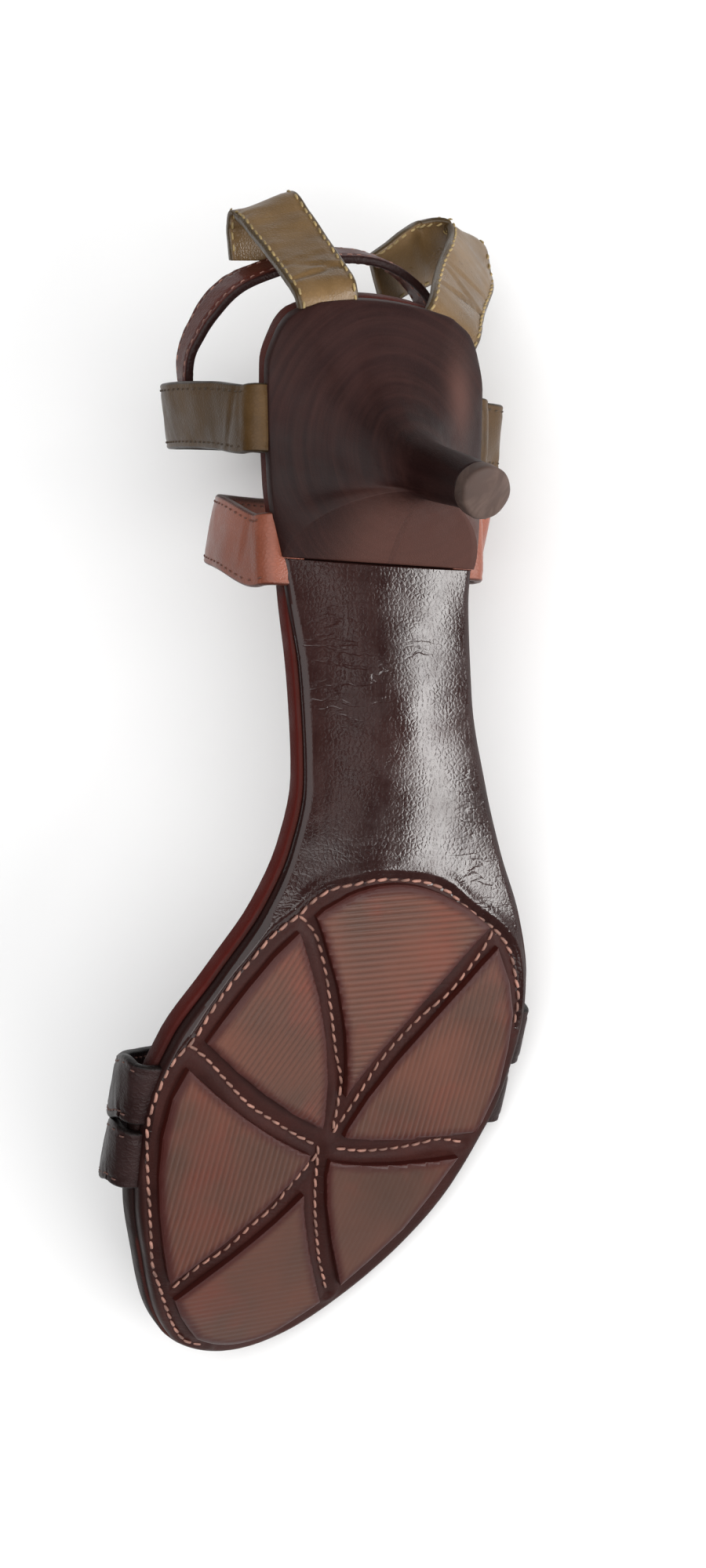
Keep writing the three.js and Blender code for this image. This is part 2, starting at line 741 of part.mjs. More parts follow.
// Buckle: a rectangular ring threaded on the ankle strap, its prong and a keeper.
function hoop({ middle, along, wide, out, length, height, wire, slant }) {
  const way = along.clone().multiplyScalar(Math.cos(slant));
  way.addScaledVector(out, Math.sin(slant));
  const up = new THREE.Vector3().crossVectors(way, wide);
  const corner = 1.6;
  const path = [];
  for (const [u, v] of [
    [1, 1],
    [-1, 1],
    [-1, -1],
    [1, -1],
  ]) {
    const cu = u * (length / 2 - corner);
    const cv = v * (height / 2 - corner);
    const from = u * v > 0 ? [u, 0] : [0, v];
    const to = u * v > 0 ? [0, v] : [u, 0];
    for (const s of [0, 0.5, 1]) {
      const turn = (s * Math.PI) / 2;
      const du = from[0] * Math.cos(turn) + to[0] * Math.sin(turn);
      const dv = from[1] * Math.cos(turn) + to[1] * Math.sin(turn);
      path.push({ u: cu + corner * du, v: cv + corner * dv, du, dv });
    }
  }
  const sides = 8;
  const points = [];
  const faces = [];
  for (const { u, v, du, dv } of path) {
    for (let k = 0; k < sides; k++) {
      const turn = (2 * Math.PI * k) / sides;
      const reach = (wire / 2) * Math.cos(turn);
      const p = middle.clone().addScaledVector(way, u + du * reach);
      p.addScaledVector(wide, v + dv * reach);
      p.addScaledVector(up, (wire / 2) * Math.sin(turn));
      points.push(p.toArray());
    }
  }
  const n = path.length;
  for (let i = 0; i < n; i++) {
    for (let k = 0; k < sides; k++) {
      const a = i * sides + k;
      const b = i * sides + ((k + 1) % sides);
      const c = ((i + 1) % n) * sides + k;
      const d = ((i + 1) % n) * sides + ((k + 1) % sides);
      faces.push([a, b, c], [b, d, c]);
    }
  }
  const geometry = build(points, faces);
  return solid(geometry).volume() < 0 ? turned(geometry) : geometry;
}

// The frame of the strap part way along: middle, direction, width and outward side.
function frameAt(stops, share) {
  const line = new THREE.CatmullRomCurve3(stops.map((s) => s.at), false, "centripetal");
  const along = line.getTangent(share);
  const wide = new THREE.Vector3(0, 0, 1).addScaledVector(along, -along.z).normalize();
  const out = new THREE.Vector3().crossVectors(along, wide);
  if (out.y > 0) out.negate();
  return { middle: line.getPoint(share), along, wide, out };
}
const buckleSpot = frameAt(ankleStops, 0.87);
const keeperSpot = frameAt(ankleStops, 0.765);
const buckleFrame = hoop({
  ...buckleSpot,
  length: 13.5,
  height: ANKLE_WIDTH + 4.2,
  wire: 1.6,
  slant: 0.46,
});
function prong({ middle, along, wide, out }) {
  const at = (u, v) => {
    const p = middle.clone().addScaledVector(along, u).addScaledVector(out, v);
    return { at: p, wide: wide.clone(), share: 1 };
  };
  return strap([at(-3.0, 1.9), at(1.0, 2.6), at(4.6, 4.8), at(7.6, 5.4)], 1.6, 1.2, 0, 2);
}
function band({ middle, along, wide, out }) {
  const loop = (halfWide, halfOut, u) =>
    [
      [1, 1],
      [-1, 1],
      [-1, -1],
      [1, -1],
    ].map(([s, o]) =>
      middle
        .clone()
        .addScaledVector(along, u)
        .addScaledVector(wide, s * halfWide)
        .addScaledVector(out, o * halfOut)
        .toArray()
    );
  const inside = [ANKLE_WIDTH / 2 + 0.45, ANKLE_THICK / 2 + 0.5];
  const outside = [inside[0] + 1.2, inside[1] + 1.2];
  const rings = [
    loop(...inside, -2.4),
    loop(...outside, -2.4),
    loop(...outside, 2.4),
    loop(...inside, 2.4),
  ];
  const faces = [];
  for (let r = 0; r < 4; r++) {
    for (let k = 0; k < 4; k++) {
      const a = r * 4 + k;
      const b = r * 4 + ((k + 1) % 4);
      const c = ((r + 1) % 4) * 4 + k;
      const d = ((r + 1) % 4) * 4 + ((k + 1) % 4);
      faces.push([a, b, c], [b, d, c]);
    }
  }
  const geometry = build(rings.flat(), faces);
  return solid(geometry).volume() < 0 ? turned(geometry) : geometry;
}

// Cut the pockets the strap ends sit in, and the recesses the pads sit in.
const strapBodies = {};
let cutters = null;
for (const [name, { width, stops }] of Object.entries(STRAPS)) {
  strapBodies[name] = strap(stops, width, STRAP_THICK, 0, 2);
  const wider = solid(strap(stops, width, STRAP_THICK, GAP, 2));
  cutters = cutters ? cutters.add(wider) : wider;
}
const heel = heelBlock();
const pieces = {
  footbed: geometryOf(solid(footbed).subtract(cutters)),
  sole_cover: geometryOf(solid(cover).subtract(cutters).subtract(pockets)),
  heel_block: geometryOf(solid(heel).subtract(cutters)),
  top_lift: disc(LIFT_RADIUS, LIFT_THICK, 0.5, 28),
};
pads.forEach((body, i) => {
  pieces[`tread_pad_${i + 1}`] = geometryOf(body);
});
Object.assign(pieces, strapBodies);
pieces.ankle_strap = strap(ankleStops, ANKLE_WIDTH, ANKLE_THICK);
pieces.buckle_frame = buckleFrame;
pieces.buckle_prong = prong(buckleSpot);
pieces.strap_keeper = band(keeperSpot);

const COLOURS = {
  footbed: 0x4a1f1a,
  sole_cover: 0x36231f,
  heel_block: 0x3f2825,
  top_lift: 0x6b5a50,
  tread_pad: 0x704c3e,
  toe_strap: 0x33211f,
  instep_strap: 0xa3745b,
  side_strap: 0x7a6a4c,
  rear_loop: 0x7a6a4c,
  ankle_strap: 0x4d2c27,
  buckle: 0xb9a98a,
  strap_keeper: 0x4d2c27,
};

// Lay the shoe on its outer side: the face of its hull where it rests most steadily,
// measured by how far the point under the centre of mass is from that face's edges.
const WEIGHT = { heel_block: 1.05, top_lift: 1.1, tread_pad: 1.1, buckle: 7.5 };
function weightOf(name) {
  const key = Object.keys(WEIGHT).find((k) => name.startsWith(k));
  return key ? WEIGHT[key] : 0.9;
}
function centreOf(parts) {
  const sum = new THREE.Vector3();
  let mass = 0;
  const [a, b, c] = [new THREE.Vector3(), new THREE.Vector3(), new THREE.Vector3()];
  for (const [name, geometry] of Object.entries(parts)) {
    const spots = geometry.getAttribute("position");
    const index = geometry.index.array;
    for (let i = 0; i < index.length; i += 3) {
      a.fromBufferAttribute(spots, index[i]);
      b.fromBufferAttribute(spots, index[i + 1]);
      c.fromBufferAttribute(spots, index[i + 2]);
      const volume = (a.dot(new THREE.Vector3().crossVectors(b, c)) / 6) * weightOf(name);
      mass += volume;
      sum.addScaledVector(a.clone().add(b).add(c), volume / 4);
    }
  }
  return sum.divideScalar(mass);
}
function restFace(parts) {
  const cloud = [];
  for (const geometry of Object.values(parts)) {
    const spots = geometry.getAttribute("position");
    for (let i = 0; i < spots.count; i++) {
      cloud.push(new THREE.Vector3().fromBufferAttribute(spots, i));
    }
  }
  const hull = new ConvexHull().setFromPoints(cloud);
  const centre = centreOf(parts);
  let best = null;
  for (const face of hull.faces) {
    const drop = face.normal.clone().multiplyScalar(face.distanceToPoint(centre));
    const foot = centre.clone().sub(drop);
    const corners = [];
    let edge = face.edge;
    do {
      corners.push(edge.head().point);
      edge = edge.next;
    } while (edge !== face.edge);
    const room = Math.min(
      ...corners.map((p, i) => {
        const side = corners[(i + 1) % corners.length].clone().sub(p);
        const reach = side.clone().cross(foot.clone().sub(p));
        return reach.dot(face.normal) / side.length();
      })
    );
    if (face.normal.y < -0.35 && room > (best ? best.room : 0)) {
      best = { room, normal: face.normal.clone(), corners: corners.map((p) => p.clone()) };
    }
  }
  return best;
}
const rest = restFace(pieces);
const lay = new THREE.Matrix4().set(-1, 0, 0, 0, 0, 0, 1, 0, 0, 1, 0, 0, 0, 0, 0, 1);
const down = rest.normal.clone().applyMatrix4(lay).normalize();
const level = new THREE.Quaternion().setFromUnitVectors(down, new THREE.Vector3(0, 0, -1));
lay.premultiply(new THREE.Matrix4().makeRotationFromQuaternion(level));
const box = new THREE.Box3();
for (const geometry of Object.values(pieces)) {
  const turnedPiece = geometry.clone().applyMatrix4(lay);
  turnedPiece.computeBoundingBox();
  box.union(turnedPiece.boundingBox);
}
const middle = box.getCenter(new THREE.Vector3());
lay.premultiply(new THREE.Matrix4().makeTranslation(-middle.x, -middle.y, -box.min.z));

const shoe = new THREE.Group();
for (const [name, geometry] of Object.entries(pieces)) {
  const key = Object.keys(COLOURS).find((k) => name.startsWith(k));
  const finish = { color: COLOURS[key], roughness: 0.55, metalness: key === "buckle" ? 1 : 0 };
  const laid = mergeVertices(geometry, 1e-4).applyMatrix4(lay);
  const mesh = new THREE.Mesh(laid, new THREE.MeshStandardMaterial(finish));
  mesh.geometry.computeVertexNormals();
  mesh.name = name;
  shoe.add(mesh);
}
shoe.userData.lay = lay.elements.slice();
shoe.userData.rest = rest.corners.map((p) => p.toArray());

export default shoe;
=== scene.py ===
"""Kitten heel strappy sandal: the leather, rubber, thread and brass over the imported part.

Points are in mm in the frame of the standing shoe: x runs from the heel to the toe, y to the inner side and z up.
world() lays them down as the part lies, in metres. The sizes and tables repeat the part's.
"""
import bmesh, bpy, math, random
import numpy as np
from mathutils import Matrix, Vector, noise, kdtree

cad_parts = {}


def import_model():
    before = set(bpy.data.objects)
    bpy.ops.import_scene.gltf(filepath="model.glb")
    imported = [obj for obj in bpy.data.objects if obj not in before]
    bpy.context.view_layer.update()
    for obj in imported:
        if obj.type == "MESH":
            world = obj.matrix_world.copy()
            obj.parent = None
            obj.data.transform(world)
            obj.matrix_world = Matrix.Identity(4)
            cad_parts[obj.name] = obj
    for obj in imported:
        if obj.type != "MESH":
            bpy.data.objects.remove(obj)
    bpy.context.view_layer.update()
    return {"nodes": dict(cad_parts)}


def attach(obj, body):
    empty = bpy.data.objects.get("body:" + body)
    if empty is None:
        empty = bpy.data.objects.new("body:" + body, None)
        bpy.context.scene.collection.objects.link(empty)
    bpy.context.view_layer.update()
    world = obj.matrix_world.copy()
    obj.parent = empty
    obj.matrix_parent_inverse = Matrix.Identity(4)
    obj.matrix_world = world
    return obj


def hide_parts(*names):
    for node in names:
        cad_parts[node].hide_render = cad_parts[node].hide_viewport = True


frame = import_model()
random.seed(11)

# Shoe frame (mm, standing) to the world (mm, lying on its side)
LAY = np.array([
    [-0.909397, -0.386702, 0.153162, 92.540855],
    [-0.153162, 0.65371, 0.741084, -16.416981],
    [-0.386702, 0.650481, -0.65371, 103.541473],
])


def world(points):
    """Shoe points (mm) to world points (m)."""
    p = np.asarray(points, float).reshape(-1, 3)
    return (p @ LAY[:, :3].T + LAY[:, 3]) / 1000


def turn(v):
    """A direction of the shoe frame in the world."""
    return Vector((LAY[:, :3] @ np.asarray(v, float)).tolist())


# Camera: it keeps the photo's place and angle to the shoe
CAM_AT = (-83.9, 296.7, -461.4)
CAM_RIGHT = (-0.195, -0.8691, -0.4546)
CAM_DOWN = (0.9301, -0.0168, -0.3669)
camera_data = bpy.data.cameras.new("camera")
camera_data.lens = 63
camera_data.sensor_width = 36
camera_data.clip_start = 0.01
camera = bpy.data.objects.new("camera", camera_data)
bpy.context.scene.collection.objects.link(camera)
right = turn(CAM_RIGHT).normalized()
up = -turn(CAM_DOWN)
up = (up - right * up.dot(right)).normalized()
back = right.cross(up)
camera.matrix_world = Matrix((
    (right.x, up.x, back.x, 0), (right.y, up.y, back.y, 0), (right.z, up.z, back.z, 0), (0, 0, 0, 1)))
camera.location = Vector(world([CAM_AT])[0].tolist())
bpy.context.scene.camera = camera

# Sizes and tables of the sole, as in the part: shares of LENGTH, BALL and HEEL_HEIGHT
LENGTH, BALL, HEEL_HEIGHT, BREAST = 240, 91, 55.5, 54.8
FOOTBED_THICK, COVER_THICK, GAP = 5.2, 3.6, 0.3
STRAP_THICK, TUCK = 1.9, 6.0
TIP_X, TIP_Y, TIP_RADIUS, LIFT_THICK, LIFT_RADIUS, HEEL_SKIRT = 29.3, -1.4, 5.3, 4.0, 5.65, 2.8
SEAM_DIP, SEAM_DIP_END = 1.6, 50  # the seam under the footbed runs lower at the back
BELLY = 2.0  # the waist of the sole is rounded across
BACK_BULGE = 2.3  # how far the heel seat is rounded out behind the tables
ALONG = [.0167, .0292, .0458, .075, .175, .2604, .3333, .4125, .4667, .5208, .5792, .6375, .7042, .75, .8, .8625,
         .9187, .9583, .9792]
INNER = [.185, .255, .288, .314, .301, .252, .227, .215, .242, .303, .398, .486, .526, .523, .503, .445, .38, .305,
         .238]
OUTER = [.193, .241, .262, .278, .275, .249, .254, .297, .345, .409, .457, .473, .459, .424, .371, .275, .153, .046,
         -.051]
PROFILE = [(-.0167, 1.031), (0, 1), (.2292, .5676), (.3542, .3153), (.4583, .1477), (.5417, .0649), (.625, .036),
           (.7917, .036), (.8958, .0829), (.9708, .1622), (1, .1982)]


def curve(xs, ys):
    """A smooth curve through the points that never overshoots. Beyond them it runs on straight."""
    xs, ys = np.asarray(xs, float), np.asarray(ys, float)
    slope = np.diff(ys) / np.diff(xs)
    lean = np.empty(len(xs))
    lean[0], lean[-1] = slope[0], slope[-1]
    for i in range(1, len(xs) - 1):
        a, b = slope[i - 1], slope[i]
        lean[i] = 0 if a * b <= 0 else 2 * a * b / (a + b)

    def f(x):
        x = np.asarray(x, float)
        i = np.clip(np.searchsorted(xs, x, side="right") - 1, 0, len(xs) - 2)
        h = xs[i + 1] - xs[i]
        t = (x - xs[i]) / h
        s = 1 - t
        y = ys[i] * s * s * (1 + 2 * t) + ys[i + 1] * t * t * (3 - 2 * t) + h * t * s * (lean[i] * s - lean[i + 1] * t)
        y = np.where(x <= xs[0], ys[0] + (x - xs[0]) * lean[0], y)
        return np.where(x >= xs[-1], ys[-1] + (x - xs[-1]) * lean[-1], y)
    return f


sole_in = curve(np.array(ALONG) * LENGTH, np.array(INNER) * BALL)
sole_out = curve(np.array(ALONG) * LENGTH, -np.array(OUTER) * BALL)
underside = curve([a * LENGTH for a, _ in PROFILE], [h * HEEL_HEIGHT for _, h in PROFILE])


def smooth(a, b, x):
    """A soft step from 0 at a to 1 at b. Either may be the larger."""
    t = np.clip((np.asarray(x, float) - a) / (b - a), 0, 1)
    return t * t * (3 - 2 * t)


def joint(x):
    """Height of the seam between the footbed and what is under it."""
    return underside(x) + COVER_THICK - SEAM_DIP * (1 - smooth(0, SEAM_DIP_END, x))


def across(x, y):
    """Place across the sole: 1 at the inner edge, 0 midway, -1 at the outer edge."""
    half = (sole_in(x) - sole_out(x)) / 2
    return (y - (sole_in(x) + sole_out(x)) / 2) / half


def cover_low(x, y):
    """Height of the sole's lower face."""
    v = np.minimum(1, np.abs(across(x, y)))
    belly = BELLY * smooth(150, 95, x) * (0.35 + 0.65 * smooth(40, 75, x))
    return underside(x) + belly * (v * v - 0.25)


# Mesh tools
def make(name, points, faces, material, replaces, attrs=None, place=None):
    """A piece from shoe points. The attribute place holds the coordinates that its grain follows, in metres."""
    mesh = bpy.data.meshes.new(name)
    mesh.from_pydata(world(points).tolist(), [], faces)
    mesh.update()
    layer = mesh.attributes.new("place", "FLOAT_VECTOR", "POINT")
    where = np.asarray(points if place is None else place, np.float32) / 1000
    layer.data.foreach_set("vector", where.reshape(-1))
    for key, values in (attrs or {}).items():
        layer = mesh.attributes.new(key, "FLOAT", "POINT")
        layer.data.foreach_set("value", np.asarray(values, np.float32))
    mesh.polygons.foreach_set("use_smooth", [True] * len(mesh.polygons))
    obj = bpy.data.objects.new(name, mesh)
    bpy.context.scene.collection.objects.link(obj)
    for m in material if isinstance(material, list) else [material]:
        mesh.materials.append(m)
    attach(obj, "root")
    if replaces:
        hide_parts(*replaces)
    return obj


def ring_faces(rows, count, base=0, flip=False):
    """Faces between rows of points that are closed rings of this count."""
    faces = []
    for i in range(rows - 1):
        for k in range(count):
            a, b = base + i * count + k, base + i * count + (k + 1) % count
            faces.append((a, a + count, b + count, b) if flip else (a, b, b + count, a + count))
    return faces


def bumpy(points, scale, seed=0.0):
    """Smooth noise at each point, about -1 to 1."""
    return np.array([noise.noise(Vector((p[0] / scale + seed, p[1] / scale, p[2] / scale))) for p in points])


# Helpers for materials
def new_material(name):
    m = bpy.data.materials.new(name)
    m.use_nodes = True
    tree = m.node_tree
    return m, tree, tree.nodes["Principled BSDF"]


def feed(tree, socket, value):
    """Link a socket to another, or set it to a constant."""
    if isinstance(value, bpy.types.NodeSocket):
        tree.links.new(value, socket)
    else:
        socket.default_value = value


def node(tree, kind, inputs=None, **props):
    n = tree.nodes.new(kind)
    for key, value in props.items():
        setattr(n, key, value)
    for key, value in (inputs or {}).items():
        feed(tree, n.inputs[key], value)
    return n


def math_node(tree, op, a, b=0.0):
    return node(tree, "ShaderNodeMath", {0: a, 1: b}, operation=op).outputs[0]


def times(tree, a, b):
    return math_node(tree, "MULTIPLY", a, b)


def plus(tree, a, b):
    return math_node(tree, "ADD", a, b)


def minus(tree, a, b):
    return math_node(tree, "SUBTRACT", a, b)


def mix_color(tree, share, a, b):
    n = node(tree, "ShaderNodeMix", data_type="RGBA")
    for key, kind, value in (("Factor", "VALUE", share), ("A", "RGBA", a), ("B", "RGBA", b)):
        feed(tree, [s for s in n.inputs if s.name == key and s.type == kind][0], value)
    return [s for s in n.outputs if s.type == "RGBA"][0]


def screen_color(h, gain=1.0):
    """A screen colour as a linear one, made lighter or darker by the gain."""
    c = [int(h[i:i + 2], 16) / 255 for i in (0, 2, 4)]
    lin = [(x / 12.92 if x <= 0.04045 else ((x + 0.055) / 1.055) ** 2.4) * gain for x in c]
    return (*lin, 1)


def ramp(tree, value, low, high):
    """0 up to low, 1 from high."""
    return node(tree, "ShaderNodeMapRange", {"Value": value, "From Min": low, "From Max": high}, clamp=True).outputs[0]


def spread(tree, value, low, high, to_low, to_high):
    """From to_low at low to to_high at high."""
    return node(tree, "ShaderNodeMapRange", {
        "Value": value, "From Min": low, "From Max": high, "To Min": to_low, "To Max": to_high}).outputs[0]


def group(name, inputs, outputs, fill):
    """A shared effect: fill makes its nodes and says which socket goes to which output."""
    g = bpy.data.node_groups.new(name, "ShaderNodeTree")
    for key, kind, value in inputs:
        g.interface.new_socket(key, in_out="INPUT", socket_type=kind).default_value = value
    for key, kind in outputs:
        g.interface.new_socket(key, in_out="OUTPUT", socket_type=kind)
    gi = g.nodes.new("NodeGroupInput")
    go = g.nodes.new("NodeGroupOutput")
    for key, socket in fill(g, gi.outputs).items():
        g.links.new(socket, go.inputs[key])
    return g


def use(tree, g, **inputs):
    """The outputs of a shared effect."""
    return node(tree, "ShaderNodeGroup", inputs, node_tree=g).outputs


# Shared effects, each a node group
def mottling(g, vector, scale, detail=3.0, rough=0.5):
    return node(g, "ShaderNodeTexNoise", {"Vector": vector, "Scale": scale, "Detail": detail, "Roughness": rough}
                ).outputs["Fac"]


def fill_grain(g, i):
    """Leather grain: fine pebbles and pores, with slow and middling changes of tone."""
    v = i["Vector"]
    cells = node(g, "ShaderNodeTexVoronoi", {"Vector": v, "Scale": i["Scale"]}, feature="DISTANCE_TO_EDGE"
                 ).outputs["Distance"]
    pebble = ramp(g, cells, 0.0, 0.25)
    fine = mottling(g, v, times(g, i["Scale"], 2.1), 3.0)
    height = plus(g, times(g, pebble, 0.45), times(g, fine, 0.6))
    return {"Height": height, "Slow": mottling(g, v, 36.0, 3.0, 0.55), "Patch": mottling(g, v, 130.0, 4.0, 0.6),
            "Pebble": pebble}


def fill_streaks(g, i):
    """Long streaks along the first axis of the vector: brush marks, rubbing and turned polish."""
    split = node(g, "ShaderNodeSeparateXYZ", {0: i["Vector"]}).outputs
    warp = times(g, mottling(g, i["Vector"], 60.0, 2.0), i["Wander"])
    x = times(g, split[0], i["Along"])
    y = plus(g, times(g, split[1], i["Across"]), warp)
    z = times(g, split[2], i["Along"])
    where = node(g, "ShaderNodeCombineXYZ", {0: x, 1: y, 2: z}).outputs[0]
    n = mottling(g, where, 1.0, 4.0, 0.6)
    return {"Mask": ramp(g, n, 0.42, 0.72), "Height": n}


def fill_creases(g, i):
    """Thin wrinkle lines that run across the first axis of the vector."""
    split = node(g, "ShaderNodeSeparateXYZ", {0: i["Vector"]}).outputs
    warp = times(g, mottling(g, i["Vector"], 90.0, 3.0), 1.6)
    x = plus(g, times(g, split[0], i["Scale"]), warp)
    y = times(g, split[1], times(g, i["Scale"], 0.22))
    z = times(g, split[2], times(g, i["Scale"], 0.22))
    where = node(g, "ShaderNodeCombineXYZ", {0: x, 1: y, 2: z}).outputs[0]
    n = mottling(g, where, 1.0, 3.0, 0.5)
    ridge = math_node(g, "ABSOLUTE", minus(g, n, 0.5))
    line = minus(g, 1.0, ramp(g, ridge, 0.0, 0.045))
    here = ramp(g, mottling(g, i["Vector"], 45.0, 2.0), 0.45, 0.6)
    return {"Line": times(g, line, here)}


FLOAT, VECTOR = "NodeSocketFloat", "NodeSocketVector"
GRAIN = group("leather_grain", [("Vector", VECTOR, (0, 0, 0)), ("Scale", FLOAT, 1100.0)],
              [("Height", FLOAT), ("Slow", FLOAT), ("Patch", FLOAT), ("Pebble", FLOAT)], fill_grain)
STREAKS = group("rubbed_streaks", [("Vector", VECTOR, (0, 0, 0)), ("Along", FLOAT, 30.0), ("Across", FLOAT, 700.0),
                                   ("Wander", FLOAT, 1.0)], [("Mask", FLOAT), ("Height", FLOAT)], fill_streaks)
CREASES = group("fine_creases", [("Vector", VECTOR, (0, 0, 0)), ("Scale", FLOAT, 260.0)], [("Line", FLOAT)],
                fill_creases)


def attribute(tree, name, output="Fac"):
    """A value that the mesh carries."""
    return node(tree, "ShaderNodeAttribute", attribute_name=name).outputs[output]


def bump(tree, height, distance, normal=None):
    inputs = {"Height": height, "Distance": distance, "Strength": 1.0}
    if normal is not None:
        inputs["Normal"] = normal
    return node(tree, "ShaderNodeBump", inputs).outputs["Normal"]


def leather(name, dark, light, rough, gloss, grain, depth, own_place=True, pebble_tint=0.15, edge=None,
            crease=0.0, crease_scale=260.0, crease_shade=0.1, streak=None, streak_color=None, rust=None, painted_light=None):
    """Leather: mottled tone, pebble grain, wrinkle lines with painted shade in them, streaks worn by rubbing and a cut
    edge of its own colour.

    depth and crease are heights in metres. streak is (along, across, wander, strength). The colours edge and rust, and
    the last colour, which is painted light, are laid on by the mesh's attributes of the same names as their arguments.
    """
    m, tree, bsdf = new_material(name)
    where = attribute(tree, "place", "Vector") if own_place else node(tree, "ShaderNodeTexCoord").outputs["Object"]
    g = use(tree, GRAIN, Vector=where, Scale=grain)
    tone = ramp(tree, plus(tree, times(tree, g["Slow"], 1.2), times(tree, g["Patch"], 0.6)), 0.6, 1.2)
    color = mix_color(tree, tone, screen_color(dark), screen_color(light))
    pores = times(tree, minus(tree, 1.0, g["Pebble"]), pebble_tint)
    color = mix_color(tree, pores, color, screen_color(dark, 0.6))
    roughness = spread(tree, g["Patch"], 0.35, 0.65, *rough)
    normal = bump(tree, g["Height"], depth)
    if streak:
        along, wide, wander, strength = streak
        rub = use(tree, STREAKS, Vector=where, Along=along, Across=wide, Wander=wander)
        color = mix_color(tree, times(tree, rub["Mask"], strength), color, screen_color(streak_color, 1.6))
        roughness = plus(tree, roughness, times(tree, rub["Mask"], STREAK_ROUGH))
        normal = bump(tree, rub["Height"], STREAK_DEEP, normal)
    if crease:
        line = use(tree, CREASES, Vector=where, Scale=crease_scale)["Line"]
        # Painted shade: the crease lines are darkened in colour, besides their bump.
        color = mix_color(tree, times(tree, line, crease_shade), color, screen_color(dark, 0.5))
        normal = bump(tree, line, -crease, normal)
    for key, tint in (("painted_light", painted_light), ("edge", edge), ("rust", rust)):
        if tint:
            color = mix_color(tree, attribute(tree, key), color, screen_color(tint))
    tree.links.new(color, bsdf.inputs["Base Color"])
    tree.links.new(roughness, bsdf.inputs["Roughness"])
    tree.links.new(normal, bsdf.inputs["Normal"])
    bsdf.inputs["Specular IOR Level"].default_value = gloss
    return m


STREAK_ROUGH = 0.02
STREAK_DEEP = 0.000006  # m
cover_leather = leather("cover_leather", "1d0d0c", "2c1816", (0.1, 0.18), 0.3, 900.0, 0.00002, edge="1a0c0b",
                        crease=0.000045, crease_scale=300.0, crease_shade=0.05,
                        streak=(24.0, 900.0, 1.2, 0.03), streak_color="5a4038")
web_leather = leather("web_leather", "260f0c", "3a1b17", (0.4, 0.56), 0.12, 900.0, 0.00003, edge="1a0c0b",
                      crease=0.00003, crease_scale=300.0, crease_shade=0.05)
footbed_leather = leather("footbed_leather", "34100b", "4e1c13", (0.5, 0.7), 0.16, 1300.0, 0.00006, edge="1c0d0b",
                          crease=0.00003, rust="480f08")
# Its last colour is painted light: a lighter tone on the lit flat breast and a painted highlight on the outer side.
heel_leather = leather("heel_leather", "170908", "281210", (0.42, 0.6), 0.16, 1700.0, 0.00003, edge="1a0b0a",
                       streak=(30.0, 760.0, 0.9, 0.2), streak_color="3e2520", painted_light="5e3e36")
toe_leather = leather("toe_leather", "190c0b", "2b1716", (0.38, 0.56), 0.2, 1200.0, 0.00008, edge="0f0706",
                      crease=0.00004)
olive_leather = leather("olive_leather", "5a452b", "7d623f", (0.26, 0.44), 0.4, 1300.0, 0.00005, edge="43341f",
                        crease=0.00002, crease_scale=240.0)
side_leather = leather("side_leather", "3b2913", "573f22", (0.3, 0.5), 0.2, 1300.0, 0.00005, edge="2a1f13",
                       crease=0.000012, crease_scale=240.0)
tan_leather = leather("tan_leather", "6d3928", "945541", (0.3, 0.5), 0.35, 1300.0, 0.00006, edge="451f13",
                      crease=0.00004)
ankle_leather = leather("ankle_leather", "3c1814", "5c2b22", (0.36, 0.52), 0.22, 1200.0, 0.00008, edge="220d0b",
                        crease=0.00003)
keeper_leather = leather("keeper_leather", "30130f", "4a251e", (0.36, 0.52), 0.22, 1200.0, 0.00008, own_place=False)
lift_rubber = leather("lift_rubber", "382a24", "50403a", (0.45, 0.7), 0.25, 500.0, 0.00002, edge="221713",
                      pebble_tint=0.0, streak=(90.0, 300.0, 5.0, 0.3), streak_color="6e5c54")
RIB_PITCH = 1.4  # mm from rib to rib on the pads


def tread_rubber():
    """Tread rubber: brown, rust and grey patches, fine ribs with painted shade in their grooves, painted shade darker
    towards the toe, and a dark red rim under the webs.
    """
    m, tree, bsdf = new_material("pad_rubber")
    where = attribute(tree, "place", "Vector")
    slow = mottling(tree, where, 26.0, 3.0, 0.6)
    other = mottling(tree, where, 48.0, 3.0, 0.6)
    fine = mottling(tree, where, 900.0, 3.0, 0.6)
    color = mix_color(tree, ramp(tree, slow, 0.34, 0.66), screen_color("462e24"), screen_color("663b2d"))
    color = mix_color(tree, ramp(tree, other, 0.5, 0.8), color, screen_color("723325"))
    color = mix_color(tree, times(tree, fine, 0.25), color, screen_color("40302a"))
    phase = times(tree, attribute(tree, "rib"), 2 * math.pi / RIB_PITCH)
    wave = plus(tree, times(tree, math_node(tree, "COSINE", phase), 0.5), 0.5)
    worn = ramp(tree, mottling(tree, where, 70.0, 2.0), 0.3, 0.55)
    deep = times(tree, attribute(tree, "groove"), plus(tree, times(tree, worn, 0.7), 0.3))
    # Painted shade: the deep rib grooves are darkened in colour.
    dark = times(tree, minus(tree, 1.0, ramp(tree, wave, 0.0, 0.7)), deep)
    color = mix_color(tree, times(tree, dark, 0.36), color, screen_color("271812"))
    # Painted shade: the pads are darkened towards the toe.
    color = mix_color(tree, times(tree, attribute(tree, "toe_shade"), 0.45), color, screen_color("38261f"))
    color = mix_color(tree, attribute(tree, "edge"), color, screen_color("330a07"))
    tree.links.new(color, bsdf.inputs["Base Color"])
    tree.links.new(spread(tree, slow, 0.35, 0.65, 0.38, 0.6), bsdf.inputs["Roughness"])
    normal = bump(tree, fine, 0.00003)
    normal = bump(tree, times(tree, wave, deep), 0.00007, normal)
    tree.links.new(normal, bsdf.inputs["Normal"])
    bsdf.inputs["Specular IOR Level"].default_value = 0.25
    return m


pad_rubber = tread_rubber()


